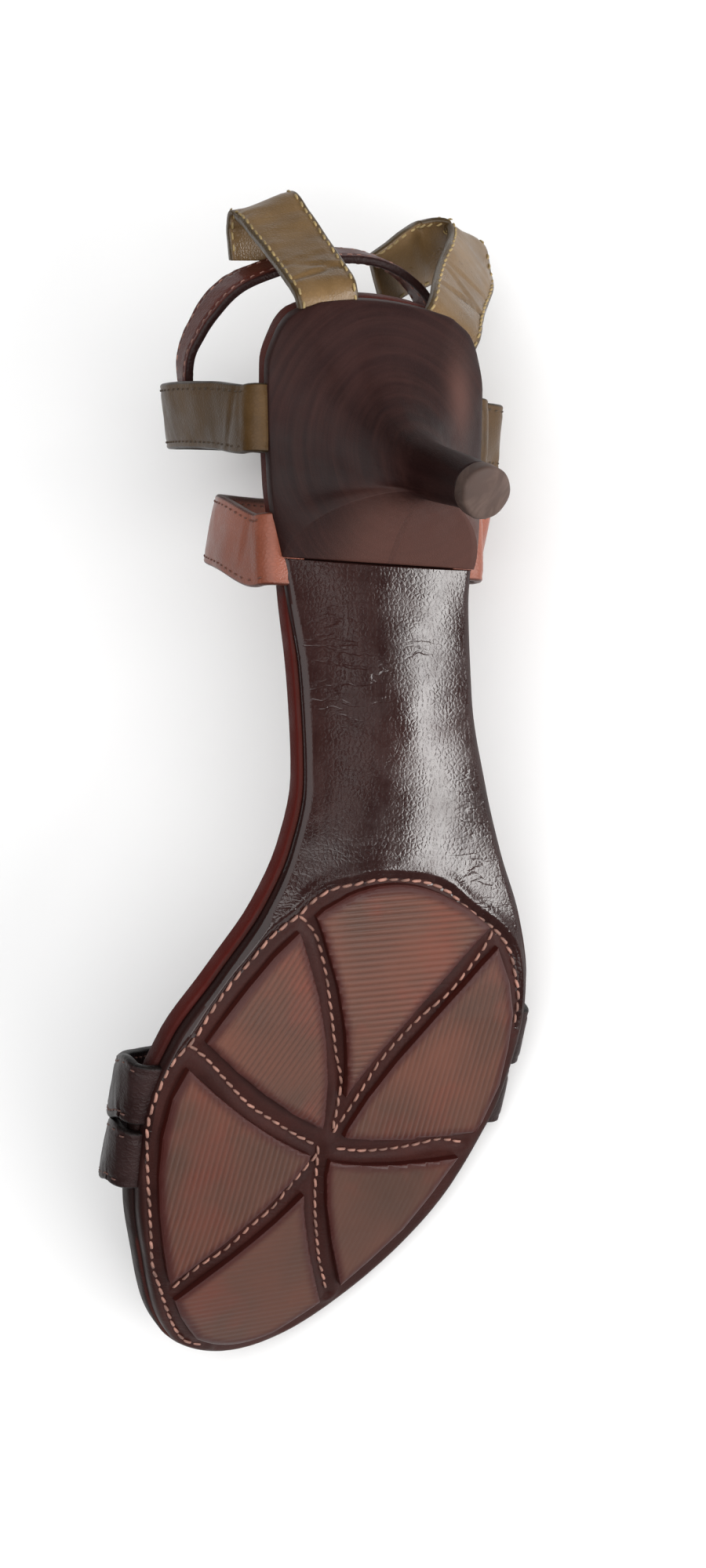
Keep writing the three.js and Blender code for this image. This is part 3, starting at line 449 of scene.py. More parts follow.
def plain(name, color, rough, patches, tones=(0.7, 1.25), metal=0.0):
    """One colour in lighter and darker tones, with the number of patches to a metre."""
    m, tree, bsdf = new_material(name)
    n = mottling(tree, node(tree, "ShaderNodeTexCoord").outputs["Object"], patches)
    color = mix_color(tree, ramp(tree, n, 0.3, 0.7), screen_color(color, tones[0]), screen_color(color, tones[1]))
    tree.links.new(color, bsdf.inputs["Base Color"])
    tree.links.new(spread(tree, n, 0.0, 1.0, rough - 0.08, rough + 0.1), bsdf.inputs["Roughness"])
    bsdf.inputs["Metallic"].default_value = metal
    return m


thread_copper = plain("thread_copper", "866054", 0.6, 260.0, (0.4, 1.5))
thread_olive = plain("thread_olive", "8f7a50", 0.6, 500.0)
thread_pinhole = plain("thread_pinhole", "3f3020", 0.7, 500.0)
thread_tan = plain("thread_tan", "5c3426", 0.6, 500.0)
thread_brown = plain("thread_brown", "5a3c34", 0.6, 500.0)
brass = plain("brass", "b39a6a", 0.34, 600.0, metal=1.0)
floor_paint = plain("floor_paint", "f8f8f8", 0.85, 3.0, (0.98, 1.02))


# Straps, in mm
STITCH_PITCH = 2.4
STITCH_LEAN = 0.12  # radians off the line
PUFF = 0.22  # the middle of a strap stands up
PRESS_IN, PRESS_DEEP, PRESS_WIDE = 1.5, 0.2, 0.4  # the pressed line near each edge
SWAY = 0.7  # how far wrinkles push the strap sideways
INSIDE_SHARE = 0.25  # how much of the relief shows on the inner face


def smooth_path(points, t):
    """A curve through the points; t runs from 0 to 1, evenly over the spans."""
    p = np.asarray(points, float)
    n = len(p) - 1
    out = []
    for value in np.atleast_1d(t):
        k = min(n - 1, max(0, int(math.floor(value * n + 1e-9))))
        w = value * n - k
        p1, p2 = p[k], p[k + 1]
        p0 = p[k - 1] if k else 2 * p[0] - p[1]
        p3 = p[k + 2] if k + 2 <= n else 2 * p[n] - p[n - 1]
        d0, d1, d2 = (np.linalg.norm(b - a) ** 0.5 for a, b in ((p0, p1), (p1, p2), (p2, p3)))
        t1 = ((p1 - p0) / d0 - (p2 - p0) / (d0 + d1) + (p2 - p1) / d1) * d1
        t2 = ((p2 - p1) / d1 - (p3 - p1) / (d1 + d2) + (p3 - p2) / d2) * d1
        out.append(p1 + t1 * w + (3 * (p2 - p1) - 2 * t1 - t2) * w * w + (2 * (p1 - p2) + t1 + t2) * w ** 3)
    return np.array(out)


class Strap:
    """A flat strap along its stops: (x, y, z, (width direction), share of the width)."""

    def __init__(self, stops, width, thick, outside):
        self.width, self.thick, self.outside = width, thick, outside
        self.at = np.array([s[0] for s in stops], float)
        self.wide = np.array([s[1] for s in stops], float)
        self.share = np.array([s[2] for s in stops], float)
        self.spans = len(stops) - 1
        self.t = np.linspace(0, 1, self.spans * 12 + 1)
        self.frames = self.frame(self.t)
        step = np.linalg.norm(np.diff(self.frames[0], axis=0), axis=1)
        self.run = np.concatenate([[0], np.cumsum(step)])

    def frame(self, t):
        """Place, way, width direction, face direction and share of the width at each t."""
        t = np.atleast_1d(t)
        at = smooth_path(self.at, t)
        way = smooth_path(self.at, np.minimum(1, t + 1e-4)) - smooth_path(self.at, np.maximum(0, t - 1e-4))
        way /= np.linalg.norm(way, axis=1)[:, None]
        k = np.clip(np.floor(t * self.spans + 1e-9).astype(int), 0, self.spans - 1)
        f = t * self.spans - k
        s = (f * f * (3 - 2 * f))[:, None]
        wide = self.wide[k] * (1 - s) + self.wide[k + 1] * s
        share = self.share[k] + (self.share[k + 1] - self.share[k]) * f
        wide = wide - way * (wide * way).sum(1)[:, None]
        wide /= np.linalg.norm(wide, axis=1)[:, None]
        return at, way, wide, np.cross(way, wide), share

    def mesh(self, name, material, creases, wrinkle):
        """The leather: rounded edges, soft puff, a pressed line near the edges, creases and fine wrinkles."""
        at, way, wide, up, share = self.frames
        a, b = self.width / 2, self.thick / 2
        r = min(0.55, b * 0.6)
        flat = np.linspace(-a + r, a - r, 22)
        arc = np.linspace(0, math.pi / 2, 4)
        section = [(u, b, 0) for u in flat]
        section += [(a - r + r * math.sin(q), b - r + r * math.cos(q), 1) for q in arc[1:]]
        section += [(a - r + r * math.cos(q), -b + r - r * math.sin(q), 1) for q in arc]
        section += [(u, -b, 0) for u in flat[::-1][1:-1]]
        section += [(-a + r - r * math.sin(q), -b + r - r * math.cos(q), 1) for q in arc]
        section += [(-a + r - r * math.cos(q), b - r + r * math.sin(q), 1) for q in arc[:-1]]
        m, n = len(section), len(at)
        pts, place, edge = np.zeros((n, m, 3)), np.zeros((n, m, 3)), np.zeros((n, m))
        for j, (u, v, on_edge) in enumerate(section):
            lift = np.zeros(n)
            if not on_edge:
                q = abs(u) / a
                lift += PUFF * (1 - q ** 4) - PRESS_DEEP * math.exp(-((abs(u) - (a - PRESS_IN)) / PRESS_WIDE) ** 2)
                lift += wrinkle * np.array([
                    noise.noise(Vector((s * 0.42 + u * 0.11, u * 0.12, 3.1 * self.width))) for s in self.run])
                for where, lean, deep, spread_mm in creases:
                    d = self.run - where * self.run[-1] - lean * u
                    fold = np.exp(-(d / spread_mm) ** 2) - 0.5 * np.exp(-((d - 2 * spread_mm) / spread_mm) ** 2)
                    lift -= deep * (1 - 0.5 * q) * fold
                face = 1 if v > 0 else -1
                lift *= face * (1 if face == self.outside else INSIDE_SHARE)
            pts[:, j] = at + wide * (u * share)[:, None] + up * (v + lift)[:, None]
            place[:, j] = np.column_stack([self.run, np.full(n, u), np.full(n, v + 9.0 * self.width)])
            edge[:, j] = on_edge
        for k in range(n):
            pts[k] += wide[k] * SWAY * wrinkle * noise.noise(Vector((self.run[k] * 0.16, 7.0, self.width)))
        faces = ring_faces(n, m)
        faces.append(tuple(range(m))[::-1])
        faces.append(tuple((n - 1) * m + j for j in range(m)))
        make(name + "_leather", pts.reshape(-1, 3), faces, material, (name,), {"edge": edge.reshape(-1)},
             place.reshape(-1, 3))

    def stitches(self, name, material, ends, inset, size):
        """Rows of stitches along both edges, on both faces, between two shares of the length."""
        spots = []
        first, total = ends[0] * self.run[-1], self.run[-1]
        for k in range(max(1, int((ends[1] - ends[0]) * total / STITCH_PITCH))):
            t = np.interp(first + (k + 0.5) * STITCH_PITCH, self.run, self.t)
            at, way, wide, up, share = (v[0] for v in self.frame(t))
            for side in (1, -1):
                for face in (1, -1):
                    p = at + wide * side * (self.width / 2 - inset) * share + up * face * (self.thick / 2 + 0.02)
                    spots.append((p, way, wide, up * face))
        thread(name + "_stitches", spots, material, size)


def thread(name, spots, material, size):
    """Short rounded stitches, each sunk at both ends. A spot is (place, way, width direction, face direction)."""
    rings, sides = 7, 6
    pts, faces = [], []
    for p, way, wide, up in spots:
        base = len(pts)
        lean = STITCH_LEAN + random.uniform(-0.06, 0.06)
        way = way * math.cos(lean) + wide * math.sin(lean)
        wide = np.cross(up, way)
        half, fat = size[0] / 2 * random.uniform(0.92, 1.06), size[1] / 2 * random.uniform(0.92, 1.08)
        for i in range(rings):
            s = -1 + 2 * i / (rings - 1)
            swell = fat * math.sqrt(max(0.06, 1 - 0.85 * s ** 4))
            middle = p + way * half * s + up * (0.08 - 0.34 * s ** 4)
            for k in range(sides):
                q = 2 * math.pi * k / sides
                pts.append(middle + wide * swell * math.cos(q) + up * swell * 0.85 * math.sin(q))
        faces += ring_faces(rings, sides, base)
        faces.append(tuple(base + k for k in range(sides))[::-1])
        faces.append(tuple(base + (rings - 1) * sides + k for k in range(sides)))
    make(name, np.array(pts), faces, material, ())


def seam_height(x):
    """Middle of a strap that is clamped in the seam."""
    return float(joint(x)) - GAP - STRAP_THICK / 2 - 0.05


def tuck(x, side, bulge):
    """Stops that bring a strap out of the seam and up."""
    edge = float(sole_in(x)) if side > 0 else float(sole_out(x))
    seam = seam_height(x)
    slope = float(joint(x + 1) - joint(x - 1)) / 2
    bend = [(-TUCK, 0), (-1.4, 0), (0.36 * bulge, 0.35), (0.88 * bulge, 1.9), (bulge, 4.6)]
    return [((x - slope * rise, edge + side * out, seam + rise), (1, 0, slope), 1) for out, rise in bend]


def arch(x_in, via, x_out, bulge=2.5):
    """Stops of a strap from the inner seam over the foot to the outer seam."""
    middle = [(v[:3], (1, v[3] if len(v) > 3 else 0, 0), 1) for v in via]
    return tuck(x_in, 1, 2.5) + middle + tuck(x_out, -1, bulge)[::-1]


def loop(rows):
    """Stops from rows of (x, y, height over the seam, width direction, share of the width)."""
    out = []
    for x, y, rise, wide, *share in rows:
        out.append(((x, y, seam_height(max(x, 3.5)) + rise), wide, share[0] if share else 1))
    return out


TOE_BACK = arch(166, [(170.2, 47.8, 17), (173.6, 42.6, 26), (176, 32.5, 33), (174.4, 15, 36.5), (168, -7, 34.5),
                      (161.2, -27, 26.5), (156.6, -39.2, 16)], 155, 1.7)
TOE_FRONT = arch(181.3, [(184.8, 47.4, 16.5), (187.2, 42, 24.5), (189, 31.6, 31), (187.4, 15, 34), (181, -5, 31),
                         (174.6, -24, 24), (171.2, -37.2, 15)], 169.8, 1.5)
INSTEP = arch(53.4, [(56.4, 27.6, 54), (58.6, 24.2, 66), (61.5, 15, 77.5), (63, 0, 83), (61.5, -17, 79),
                     (57.5, -31, 67), (53.6, -36, 54.5), (51.6, -31.5, 45.5)], 50.2)
SIDE = arch(28, [(31.8, 31.2, 60, -.1), (35, 31.6, 73, -.25), (38, 30.4, 84, -.35), (41.2, 24.5, 96.5, -.3),
                 (43, 12, 105.5), (43.5, -6, 109.5), (43, -23.5, 104), (39, -34, 88, -.3), (34, -37, 69, -.3),
                 (30, -36.4, 56, -.15)], 26.6)
MEDIAL = loop([
    (9.6, 12, 0, (-.28, -.96, .12)), (4.9, 13.2, 0, (-.28, -.96, .12)), (2.3, 13.8, .3, (-.27, -.96, .08)),
    (.6, 14.1, 2.2, (-.27, -.96, 0)), (-.7, 14.2, 5.4, (-.28, -.96, 0)), (-4.4, 14.6, 15.5, (-.33, -.94, 0)),
    (-7.8, 15.2, 24.6, (-.42, -.9, -.05)), (-10, 15.6, 31.6, (-.5, -.86, -.1)),
    (-8.6, 15.5, 35, (-.5, -.86, -.08), .97), (-5, 15.3, 35.6, (-.44, -.9, -.04), .94),
    (-1.2, 15, 35, (-.36, -.93, 0), .88), (2.4, 14.6, 34.5, (-.3, -.95, 0), .82)])
LATERAL = loop([
    (12.4, -13.6, 0, (.45, -.87, -.18)), (8, -16.4, 0, (.45, -.87, -.18)), (5.2, -18.4, .4, (.45, -.87, -.15)),
    (3.3, -20.2, 2.4, (.45, -.87, -.12)), (1.9, -22, 5.6, (.46, -.87, -.1)), (-1, -27, 13.4, (.5, -.85, -.12), 1.03),
    (-3.8, -32.2, 20.5, (.58, -.8, -.1), 1.08), (-5.7, -36, 27.4, (.51, -.85, .13), 1.07),
    (-9, -37, 34.3, (.23, -.88, .41), .97), (-4, -29.5, 36.3, (.74, -.66, .06), 1.05),
    (-2.2, -24.4, 34.2, (.89, -.45, 0), .97),
    (.6, -19.6, 32.4, (.9, -.42, 0), .92), (3, -15.2, 31.2, (.9, -.42, 0), .86)])
ANKLE = [((39, 26, 82.6), (0, -.2, 1), .82), ((31, 29, 82.8), (0, -.18, 1), .86), ((24, 30.2, 83), (.02, -.14, 1), .9),
         ((18.2, 28.8, 83), (.02, -.08, 1), .95)]
ANKLE += [(p, (0, 0, 1), 1) for p in (
    (11.8, 25.8, 83), (7.2, 21.8, 83), (3.4, 15, 83), (-.2, 5.5, 83), (-2.4, -4.5, 81.8), (-2, -12, 79.8),
    (1, -19, 78.6), (6, -24.8, 78.2), (12.5, -28.4, 78.2), (20.5, -30.2, 78.6), (29, -30.4, 79), (38, -29.2, 79.4))]

# name, stops, width, thick, which face is outside, leather, thread, creases, wrinkle height.
# A crease is (share of the length, lean, depth, width).
STRAPS = [
    ("toe_strap_back", TOE_BACK, 13.5, STRAP_THICK, 1, toe_leather, thread_brown,
     [(.3, .2, .3, .8), (.5, -.1, .25, 1), (.7, .15, .3, .8)], .25),
    ("toe_strap_front", TOE_FRONT, 13.2, STRAP_THICK, 1, toe_leather, thread_brown,
     [(.28, -.2, .3, .8), (.52, .1, .25, 1), (.72, -.15, .3, .8)], .25),
    ("instep_strap", INSTEP, 15.4, STRAP_THICK, 1, tan_leather, thread_tan, [(.1, .1, .25, .7)], .09),
    ("side_strap", SIDE, 14.6, STRAP_THICK, 1, side_leather, thread_pinhole, [(.08, .1, .25, .7)], .08),
    ("rear_loop_medial", MEDIAL, 14.8, STRAP_THICK, -1, olive_leather, thread_olive,
     [(.24, .25, .4, .6), (.29, -.3, .35, .7), (.34, .15, .25, .6)], .13),
    ("rear_loop_lateral", LATERAL, 15, STRAP_THICK, -1, olive_leather, thread_olive,
     [(.24, .3, .45, .6), (.29, -.35, .4, .7), (.36, .2, .3, .6)], .15),
    ("ankle_strap", ANKLE, 9.6, 1.8, 1, ankle_leather, thread_copper, [(.3, .1, .2, .6)], .12),
]
for name, stops, width, thick, outside, material, thread_material, creases, wrinkle in STRAPS:
    strap = Strap(stops, width, thick, outside)
    strap.mesh(name, material, creases, wrinkle)
    if "loop" in name:
        strap.stitches(name, thread_material, (0.09, 0.985), 0.95, (2.0, 0.62))
    else:
        ends = (0.01, 0.99) if name == "ankle_strap" else (0.055, 0.945)
        strap.stitches(name, thread_material, ends, 1.5, (1.5, 0.42))


# Sole pieces
def slab(xs, inner, outer, back_bulge, toe_bulge, steps, levels, low, high):
    """A flat piece of the sole between two edge lines, with its ends bulged out and its lower and upper face fine.

    levels are (how far the edge stands in, share of the height). It gives the points, the faces and, for the lower
    and the upper face, the numbers of their points.
    """
    n = len(xs) - 1
    yi, yo = inner(xs), outer(xs)

    def end(i, v, bulge):
        return [xs[i] + bulge * (1 - (2 * v - 1) ** 2), yi[i] + (yo[i] - yi[i]) * v]

    ring = [[x, y] for x, y in zip(xs, yi)]
    ring += [end(n, j / steps, toe_bulge) for j in range(1, steps)]
    ring += [[x, y] for x, y in zip(xs[::-1], yo[::-1])]
    ring += [end(0, j / steps, -back_bulge) for j in range(steps - 1, 0, -1)]
    ring = np.array(ring)
    count = len(ring)
    d = np.roll(ring, -1, axis=0) - np.roll(ring, 1, axis=0)
    size = np.hypot(d[:, 0], d[:, 1])
    normal = np.stack([d[:, 1] / size, -d[:, 0] / size], 1)
    if not back_bulge:
        normal[ring[:, 0] < xs[0] + 1e-6, 0] = 0
    pts, faces = [], ring_faces(len(levels), count, flip=True)
    for inset, rise in levels:
        q = ring + normal * inset
        lo, hi = low(q[:, 0], q[:, 1]), high(q[:, 0], q[:, 1])
        pts += np.column_stack([q, lo + (hi - lo) * rise]).tolist()
    caps = []
    for level, height, flip in ((0, low, True), (len(levels) - 1, high, False)):
        base = level * count
        grid = []
        for i in range(n + 1):
            far = base + n + steps + (n - i)
            if i in (0, n):
                mid = [base + n + j if i == n else base + count - j for j in range(1, steps)]
            else:
                a, b = np.array(pts[base + i]), np.array(pts[far])
                q = a[:2] + (b[:2] - a[:2]) * (np.arange(1, steps) / steps)[:, None]
                mid = list(range(len(pts), len(pts) + steps - 1))
                pts += np.column_stack([q, height(q[:, 0], q[:, 1])]).tolist()
            grid.append([base + i] + mid + [far])
        for i in range(n):
            for j in range(steps):
                f = (grid[i][j], grid[i + 1][j], grid[i + 1][j + 1], grid[i][j + 1])
                faces.append(f if flip else f[::-1])
        caps.append(sorted({v for row in grid for v in row}))
    return np.array(pts), faces, caps


def spaced(a, b, count):
    """Places from a to b, closer together near both ends."""
    t = np.arange(count + 1) / count
    return a + (b - a) * (0.35 * t + 0.65 * (0.5 - 0.5 * np.cos(np.pi * t)))


def dish(x, y):
    """The footbed's upper face: hollow at the heel, with its edges lower along the waist."""
    v = np.minimum(1, np.abs(across(x, y)))
    return 1.1 * smooth(75, 20, x) * (v * v - 1) - 0.5 * smooth(60, 110, x) * v * v


FOOTBED_LEVELS = [(.5, 0), (.2, .05), (0, .14), (0, .45), (0, .78), (.12, .86), (.35, .93), (.65, .975), (1, 1)]
pts, faces, _ = slab(spaced(4, 233.4, 110), lambda x: sole_in(x) - 1.5 * (1 - smooth(46, 70, x)), sole_out, BACK_BULGE,
                     3.8, 28, FOOTBED_LEVELS, lambda x, y: joint(x), lambda x, y: joint(x) + FOOTBED_THICK + dish(x, y))
edge = (np.abs(across(pts[:, 0], pts[:, 1])) > 0.985).astype(float)
rust = edge * smooth(54, 62, pts[:, 0]) * (1 - smooth(140, 172, pts[:, 0]))
make("footbed_leather_board", pts, faces, footbed_leather, ("footbed",), {"edge": edge, "rust": rust})

# Stitch lines on the sole, x and y in the shoe frame
WEB_LINES = [
    [(124.8, 19), (128.7, 14.9), (136.1, 11.4), (147.1, 7.7), (156.6, 4.5), (163.1, 1.8), (169.1, 1.3), (176.4, 1.2)],
    [(128.5, -30.1), (132.6, -28.2), (137.4, -25), (143, -20.8), (147.7, -15.5), (153.5, -10.6), (159.3, -6.8),
     (164.9, -4.3), (170.8, -1.6), (176.4, 1.2)],
    [(180, -.7), (180.9, -7.1), (180.8, -14.8), (180, -21.5), (179.1, -26.8), (180.2, -33.6)],
    [(179, 4), (184.5, 3.2), (190.2, 2.4), (196.7, .8), (203, -1.3), (209.3, -3.7), (215.1, -6.6), (219.4, -8.6)],
    [(180.9, 3.6), (185.6, 6.9), (189.7, 9.6), (193.7, 12), (198.5, 16.5), (204.2, 21.2), (208.2, 26.3), (214, 31.7)],
    [(153.3, 40.5), (156.9, 35.6), (162.7, 29.5), (168.1, 23.4), (171.9, 17.4), (175.9, 10.6), (178.9, 4.8)],
]
RIM_LINES = [
    [(124.8, 19), (129.3, 24.8), (134.4, 29), (139.7, 33.2), (146.3, 37.1), (151.8, 39.5), (157.2, 43.4),
     (162.1, 45.2), (171.3, 46.6), (180.7, 45.1), (192.4, 42.3), (199.7, 40.4), (207.2, 38.2), (213.7, 34.8),
     (220.2, 31.3), (226.6, 27.2), (230.7, 23.2), (232.5, 17.7)],
    [(124.8, 19), (121.7, 15.7), (119.4, 11.6), (118.3, 6.5), (117.3, .6), (117.3, -5.3), (117.9, -11.5),
     (119.8, -17), (123.2, -22), (125.8, -26.2), (129.2, -31.5), (133.4, -35.3), (138.4, -37.5), (144, -39.5),
     (151.5, -40)],
]


def even(line, pitch):
    """Evenly spaced places on a line, and the way it runs there."""
    p = smooth_path([(x, y, 0) for x, y in line], np.linspace(0, 1, 40 * len(line)))[:, :2]
    run = np.concatenate([[0], np.cumsum(np.linalg.norm(np.diff(p, axis=0), axis=1))])
    s = np.arange(pitch / 2, run[-1], pitch)
    q = np.column_stack([np.interp(s, run, p[:, k]) for k in (0, 1)])
    e = np.column_stack([np.interp(s + 0.2, run, p[:, k]) for k in (0, 1)])
    d = e - q
    return q, d / np.maximum(1e-9, np.linalg.norm(d, axis=1))[:, None]


def nearest(points):
    """A search tree over points in x and y."""
    tree = kdtree.KDTree(len(points))
    for k, (x, y) in enumerate(points):
        tree.insert((x, y, 0), k)
    tree.balance()
    return tree


stitch_tree = nearest(np.vstack([even(line, 0.6)[0] for line in WEB_LINES + RIM_LINES]))


CHANNEL_DEEP, CHANNEL_WIDE = 0.45, 0.9
SHOULDER_HIGH, SHOULDER_AT = 0.35, 2.0


def seam_drop(x, y):
    """How far the stitched channel is pressed into the sole. Its shoulders stand out."""
    out = np.zeros(len(x))
    for k in np.nonzero(x > 110)[0]:
        d = stitch_tree.find((x[k], y[k], 0))[2]
        out[k] = CHANNEL_DEEP * math.exp(-(d / CHANNEL_WIDE) ** 2)
        out[k] -= SHOULDER_HIGH * math.exp(-((d - SHOULDER_AT) / CHANNEL_WIDE) ** 2)
    return out


def cover_in(x):
    return sole_in(x) - 0.4 - 0.6 * smooth(62, 76, x)


def cover_out(x):
    return sole_out(x) + 0.4


COVER_LEVELS = [(1.3, 0), (.85, .04), (.5, .1), (.22, .2), (.06, .34), (0, .5), (0, .75), (0, 1)]
pts, faces, (low_face, _) = slab(spaced(BREAST, 231.4, 190), cover_in, cover_out, 0, 4.2, 84, COVER_LEVELS,
                                 cover_low, lambda x, y: joint(x) - GAP)
q = pts[low_face]
waves = 0.1 * bumpy(q * np.array([1, 1, 0]), 14.0) + 0.05 * bumpy(q * np.array([1, .35, 0]), 3.4, 9.0)
inside = (1 - smooth(0.86, 1.0, np.abs(across(q[:, 0], q[:, 1])))) * smooth(BREAST + 1, BREAST + 6, q[:, 0])
pts[low_face, 2] += seam_drop(q[:, 0], q[:, 1]) + waves * inside
edge = smooth(0.94, 1.0, np.abs(across(pts[:, 0], pts[:, 1])))
cover = make("sole_cover_leather", pts, faces, [cover_leather, web_leather], ("sole_cover",),
             {"edge": edge})

# The polished leather ends at the rim stitches. The webs, the toe and the trimmed edge are matt.
rim = np.array(RIM_LINES[1][::-1] + RIM_LINES[0][:10])
middle = np.array([pts[list(f)].mean(axis=0) for f in faces])
matt = middle[:, 0] > np.interp(middle[:, 1], rim[:, 1], rim[:, 0])
matt |= np.abs(across(middle[:, 0], middle[:, 1])) > 0.965
cover.data.polygons.foreach_set("material_index", matt.astype(np.int32))


def sole_stitches(name, lines, pitch, size):
    spots = []
    for line in lines:
        for (x, y), (dx, dy) in zip(*even(line, pitch)):
            slope = float(underside(x + 0.5) - underside(x - 0.5))
            way = np.array([dx, dy, slope * dx])
            way /= np.linalg.norm(way)
            out = np.array([slope, 0, -1.0])
            wide = np.cross(out / np.linalg.norm(out), way)
            spots.append((np.array([x, y, float(cover_low(x, y)) + 0.2]), way, wide, np.cross(way, wide)))
    thread(name, spots, thread_copper, size)


sole_stitches("web_stitches", WEB_LINES, 2.75, (2.3, 0.72))
sole_stitches("rim_stitches", RIM_LINES, 2.85, (2.4, 0.76))


# Heel. The walls draw in to the neck fast at first, then slowly; a higher power draws in sooner.
WALL_DRAW = (1.3, 6.2)
BREAST_DRAW = (8, 2.2)  # the flat front: along the shoe, then how far it lags across
NECK_LEAN = 2.0  # the neck stands this far in front of the tip


def heel():
    """The heel as rings from the heel seat down to the lift: points, faces, places for the grain, and the painted
    light.

    The grain turns round the neck. A lighter colour is painted on the flat breast where light falls on it, and a
    painted highlight on the outer side near the neck.
    """
    steps, inset = 30, 0.4
    xs = spaced(4, BREAST - GAP, 46)
    last = len(xs) - 1
    yi, yo = sole_in(xs) - inset, sole_out(xs) + inset
    ring = [[x, y] for x, y in zip(xs, yi)]
    ring += [[xs[last], yi[last] + (yo[last] - yi[last]) * j / steps] for j in range(1, steps)]
    ring += [[x, y] for x, y in zip(xs[::-1], yo[::-1])]
    for j in range(steps - 1, 0, -1):
        v = j / steps
        y = sole_in(xs[0]) + (sole_out(xs[0]) - sole_in(xs[0])) * v
        ring.append([xs[0] - (BACK_BULGE - inset) * (1 - (2 * v - 1) ** 2), float(y)])
    ring = np.array(ring)
    x, y = ring[:, 0], ring[:, 1]
    count = len(ring)
    # Rows: share of the way down, share of the skirt, how far the edge stands in
    wall = [(0, 0, .3), (0, .06, .1), (0, .14, 0), (0, .5, 0)]
    depths = np.concatenate([[0, .002], np.linspace(.008, 0.3, 26)[:-1], np.linspace(0.3, 1, 30)])
    rows = wall + [(d, 1, 0) for d in depths]
    tip = LIFT_THICK + GAP
    angle = np.arctan2(y - 1.5, x - TIP_X)
    front = smooth(38, 53, x)
    top = joint(x) - GAP
    pts, place, painted_light = [], [], []
    for d, drop, inset_top in rows:
        body = 1 - (1 - d ** WALL_DRAW[0]) ** WALL_DRAW[1]
        face = 1 - (1 - d) ** BREAST_DRAW[0]
        lean = NECK_LEAN * float(smooth(1, 0.4, d))
        along = body + (face - body) * front
        wide = body + (face ** BREAST_DRAW[1] - body) * front
        px = x + (TIP_X + lean + TIP_RADIUS * np.cos(angle) - x) * along
        py = y + (TIP_Y + TIP_RADIUS * np.sin(angle) - y) * wide
        mid = np.hypot(px - 28, py)
        px, py = px - inset_top * (px - 28) / mid, py - inset_top * py / mid
        skirt = top - HEEL_SKIRT * drop
        pts.append(np.column_stack([px, py, skirt + (tip - skirt) * d]))
        # Painted light: a lighter colour on the flat breast where light falls, and a painted highlight on the outer
        # side near the neck.
        breast = front * smooth(20, 2, py) * (1 - smooth(0.1, 0.42, d))
        painted_highlight = np.exp(-((px - 19) / 8) ** 2 - ((py + 17) / 3.5) ** 2) * (1 - smooth(0.2, 0.5, d))
        painted_light.append(np.maximum(0.5 * breast, 0.6 * painted_highlight) * (1 - smooth(0.6, 1, inset_top + 1 - drop)))
        place.append(np.column_stack([np.arctan2(py - TIP_Y, TIP_X + 6 - px) * 26,
                                      np.hypot(px - TIP_X - 2, py - TIP_Y), pts[-1][:, 2] * 0.3]))
    pts, place, painted_light = np.vstack(pts), np.vstack(place), np.concatenate(painted_light)
    faces = ring_faces(len(rows), count)
    base = (len(rows) - 1) * count
    faces.append(tuple(base + k for k in range(count)))
    faces.append(tuple(range(count))[::-1])
    return pts, faces, place, painted_light


pts, faces, place, painted_light = heel()
make("heel_block_leather", pts, faces, heel_leather, ("heel_block",), {"painted_light": painted_light}, place)

# Top lift, turned with soft edges
sides = 64
rings = [(.01, 0), (LIFT_RADIUS - 1.1, 0), (LIFT_RADIUS - .5, .1), (LIFT_RADIUS - .15, .35), (LIFT_RADIUS, .8),
         (LIFT_RADIUS, LIFT_THICK - .4), (LIFT_RADIUS - .1, LIFT_THICK - .1), (LIFT_RADIUS - .4, LIFT_THICK),
         (.01, LIFT_THICK)]
pts = []
for radius, z in rings:
    for k in range(sides):
        q = 2 * math.pi * k / sides
        far = radius * (1 + 0.012 * math.sin(3 * q + 1) + 0.008 * math.sin(7 * q))
        pts.append((TIP_X + far * math.cos(q), TIP_Y + far * math.sin(q), z))
make("top_lift_rubber", pts, ring_faces(len(rings), sides, flip=True), lift_rubber, ("top_lift",))

# Tread pads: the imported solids, rounded and ribbed
RIB_DEEP = 0.24
CELL = 1.1  # how far apart the points lie along a rib
RIBS = {1: (12, .1), 2: (4, .9), 3: (86, 1.0), 4: (28, 1.0), 5: (4, .9), 6: (84, .3)}  # angle, share of the depth
LAY_INV = np.linalg.inv(LAY[:, :3])


def shoe(points):
    """World points (m) to shoe points (mm)."""
    return (np.asarray(points, float) * 1000 - LAY[:, 3]) @ LAY_INV.T


def packed(name, dist):
    """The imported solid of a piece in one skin, in shoe points; dist joins its corners."""
    bm = bmesh.new()
    bm.from_mesh(frame["nodes"][name].data)
    for v, at in zip(bm.verts, shoe([tuple(v.co) for v in bm.verts])):
        v.co = at.tolist()
    bmesh.ops.remove_doubles(bm, verts=bm.verts, dist=dist)
    return bm


def indexed(bm):
    """The points and faces of a skin that is no longer needed."""
    bm.verts.index_update()
    points = np.array([v.co for v in bm.verts])
    faces = [tuple(v.index for v in f.verts) for f in bm.faces]
    bm.free()
    return points, faces


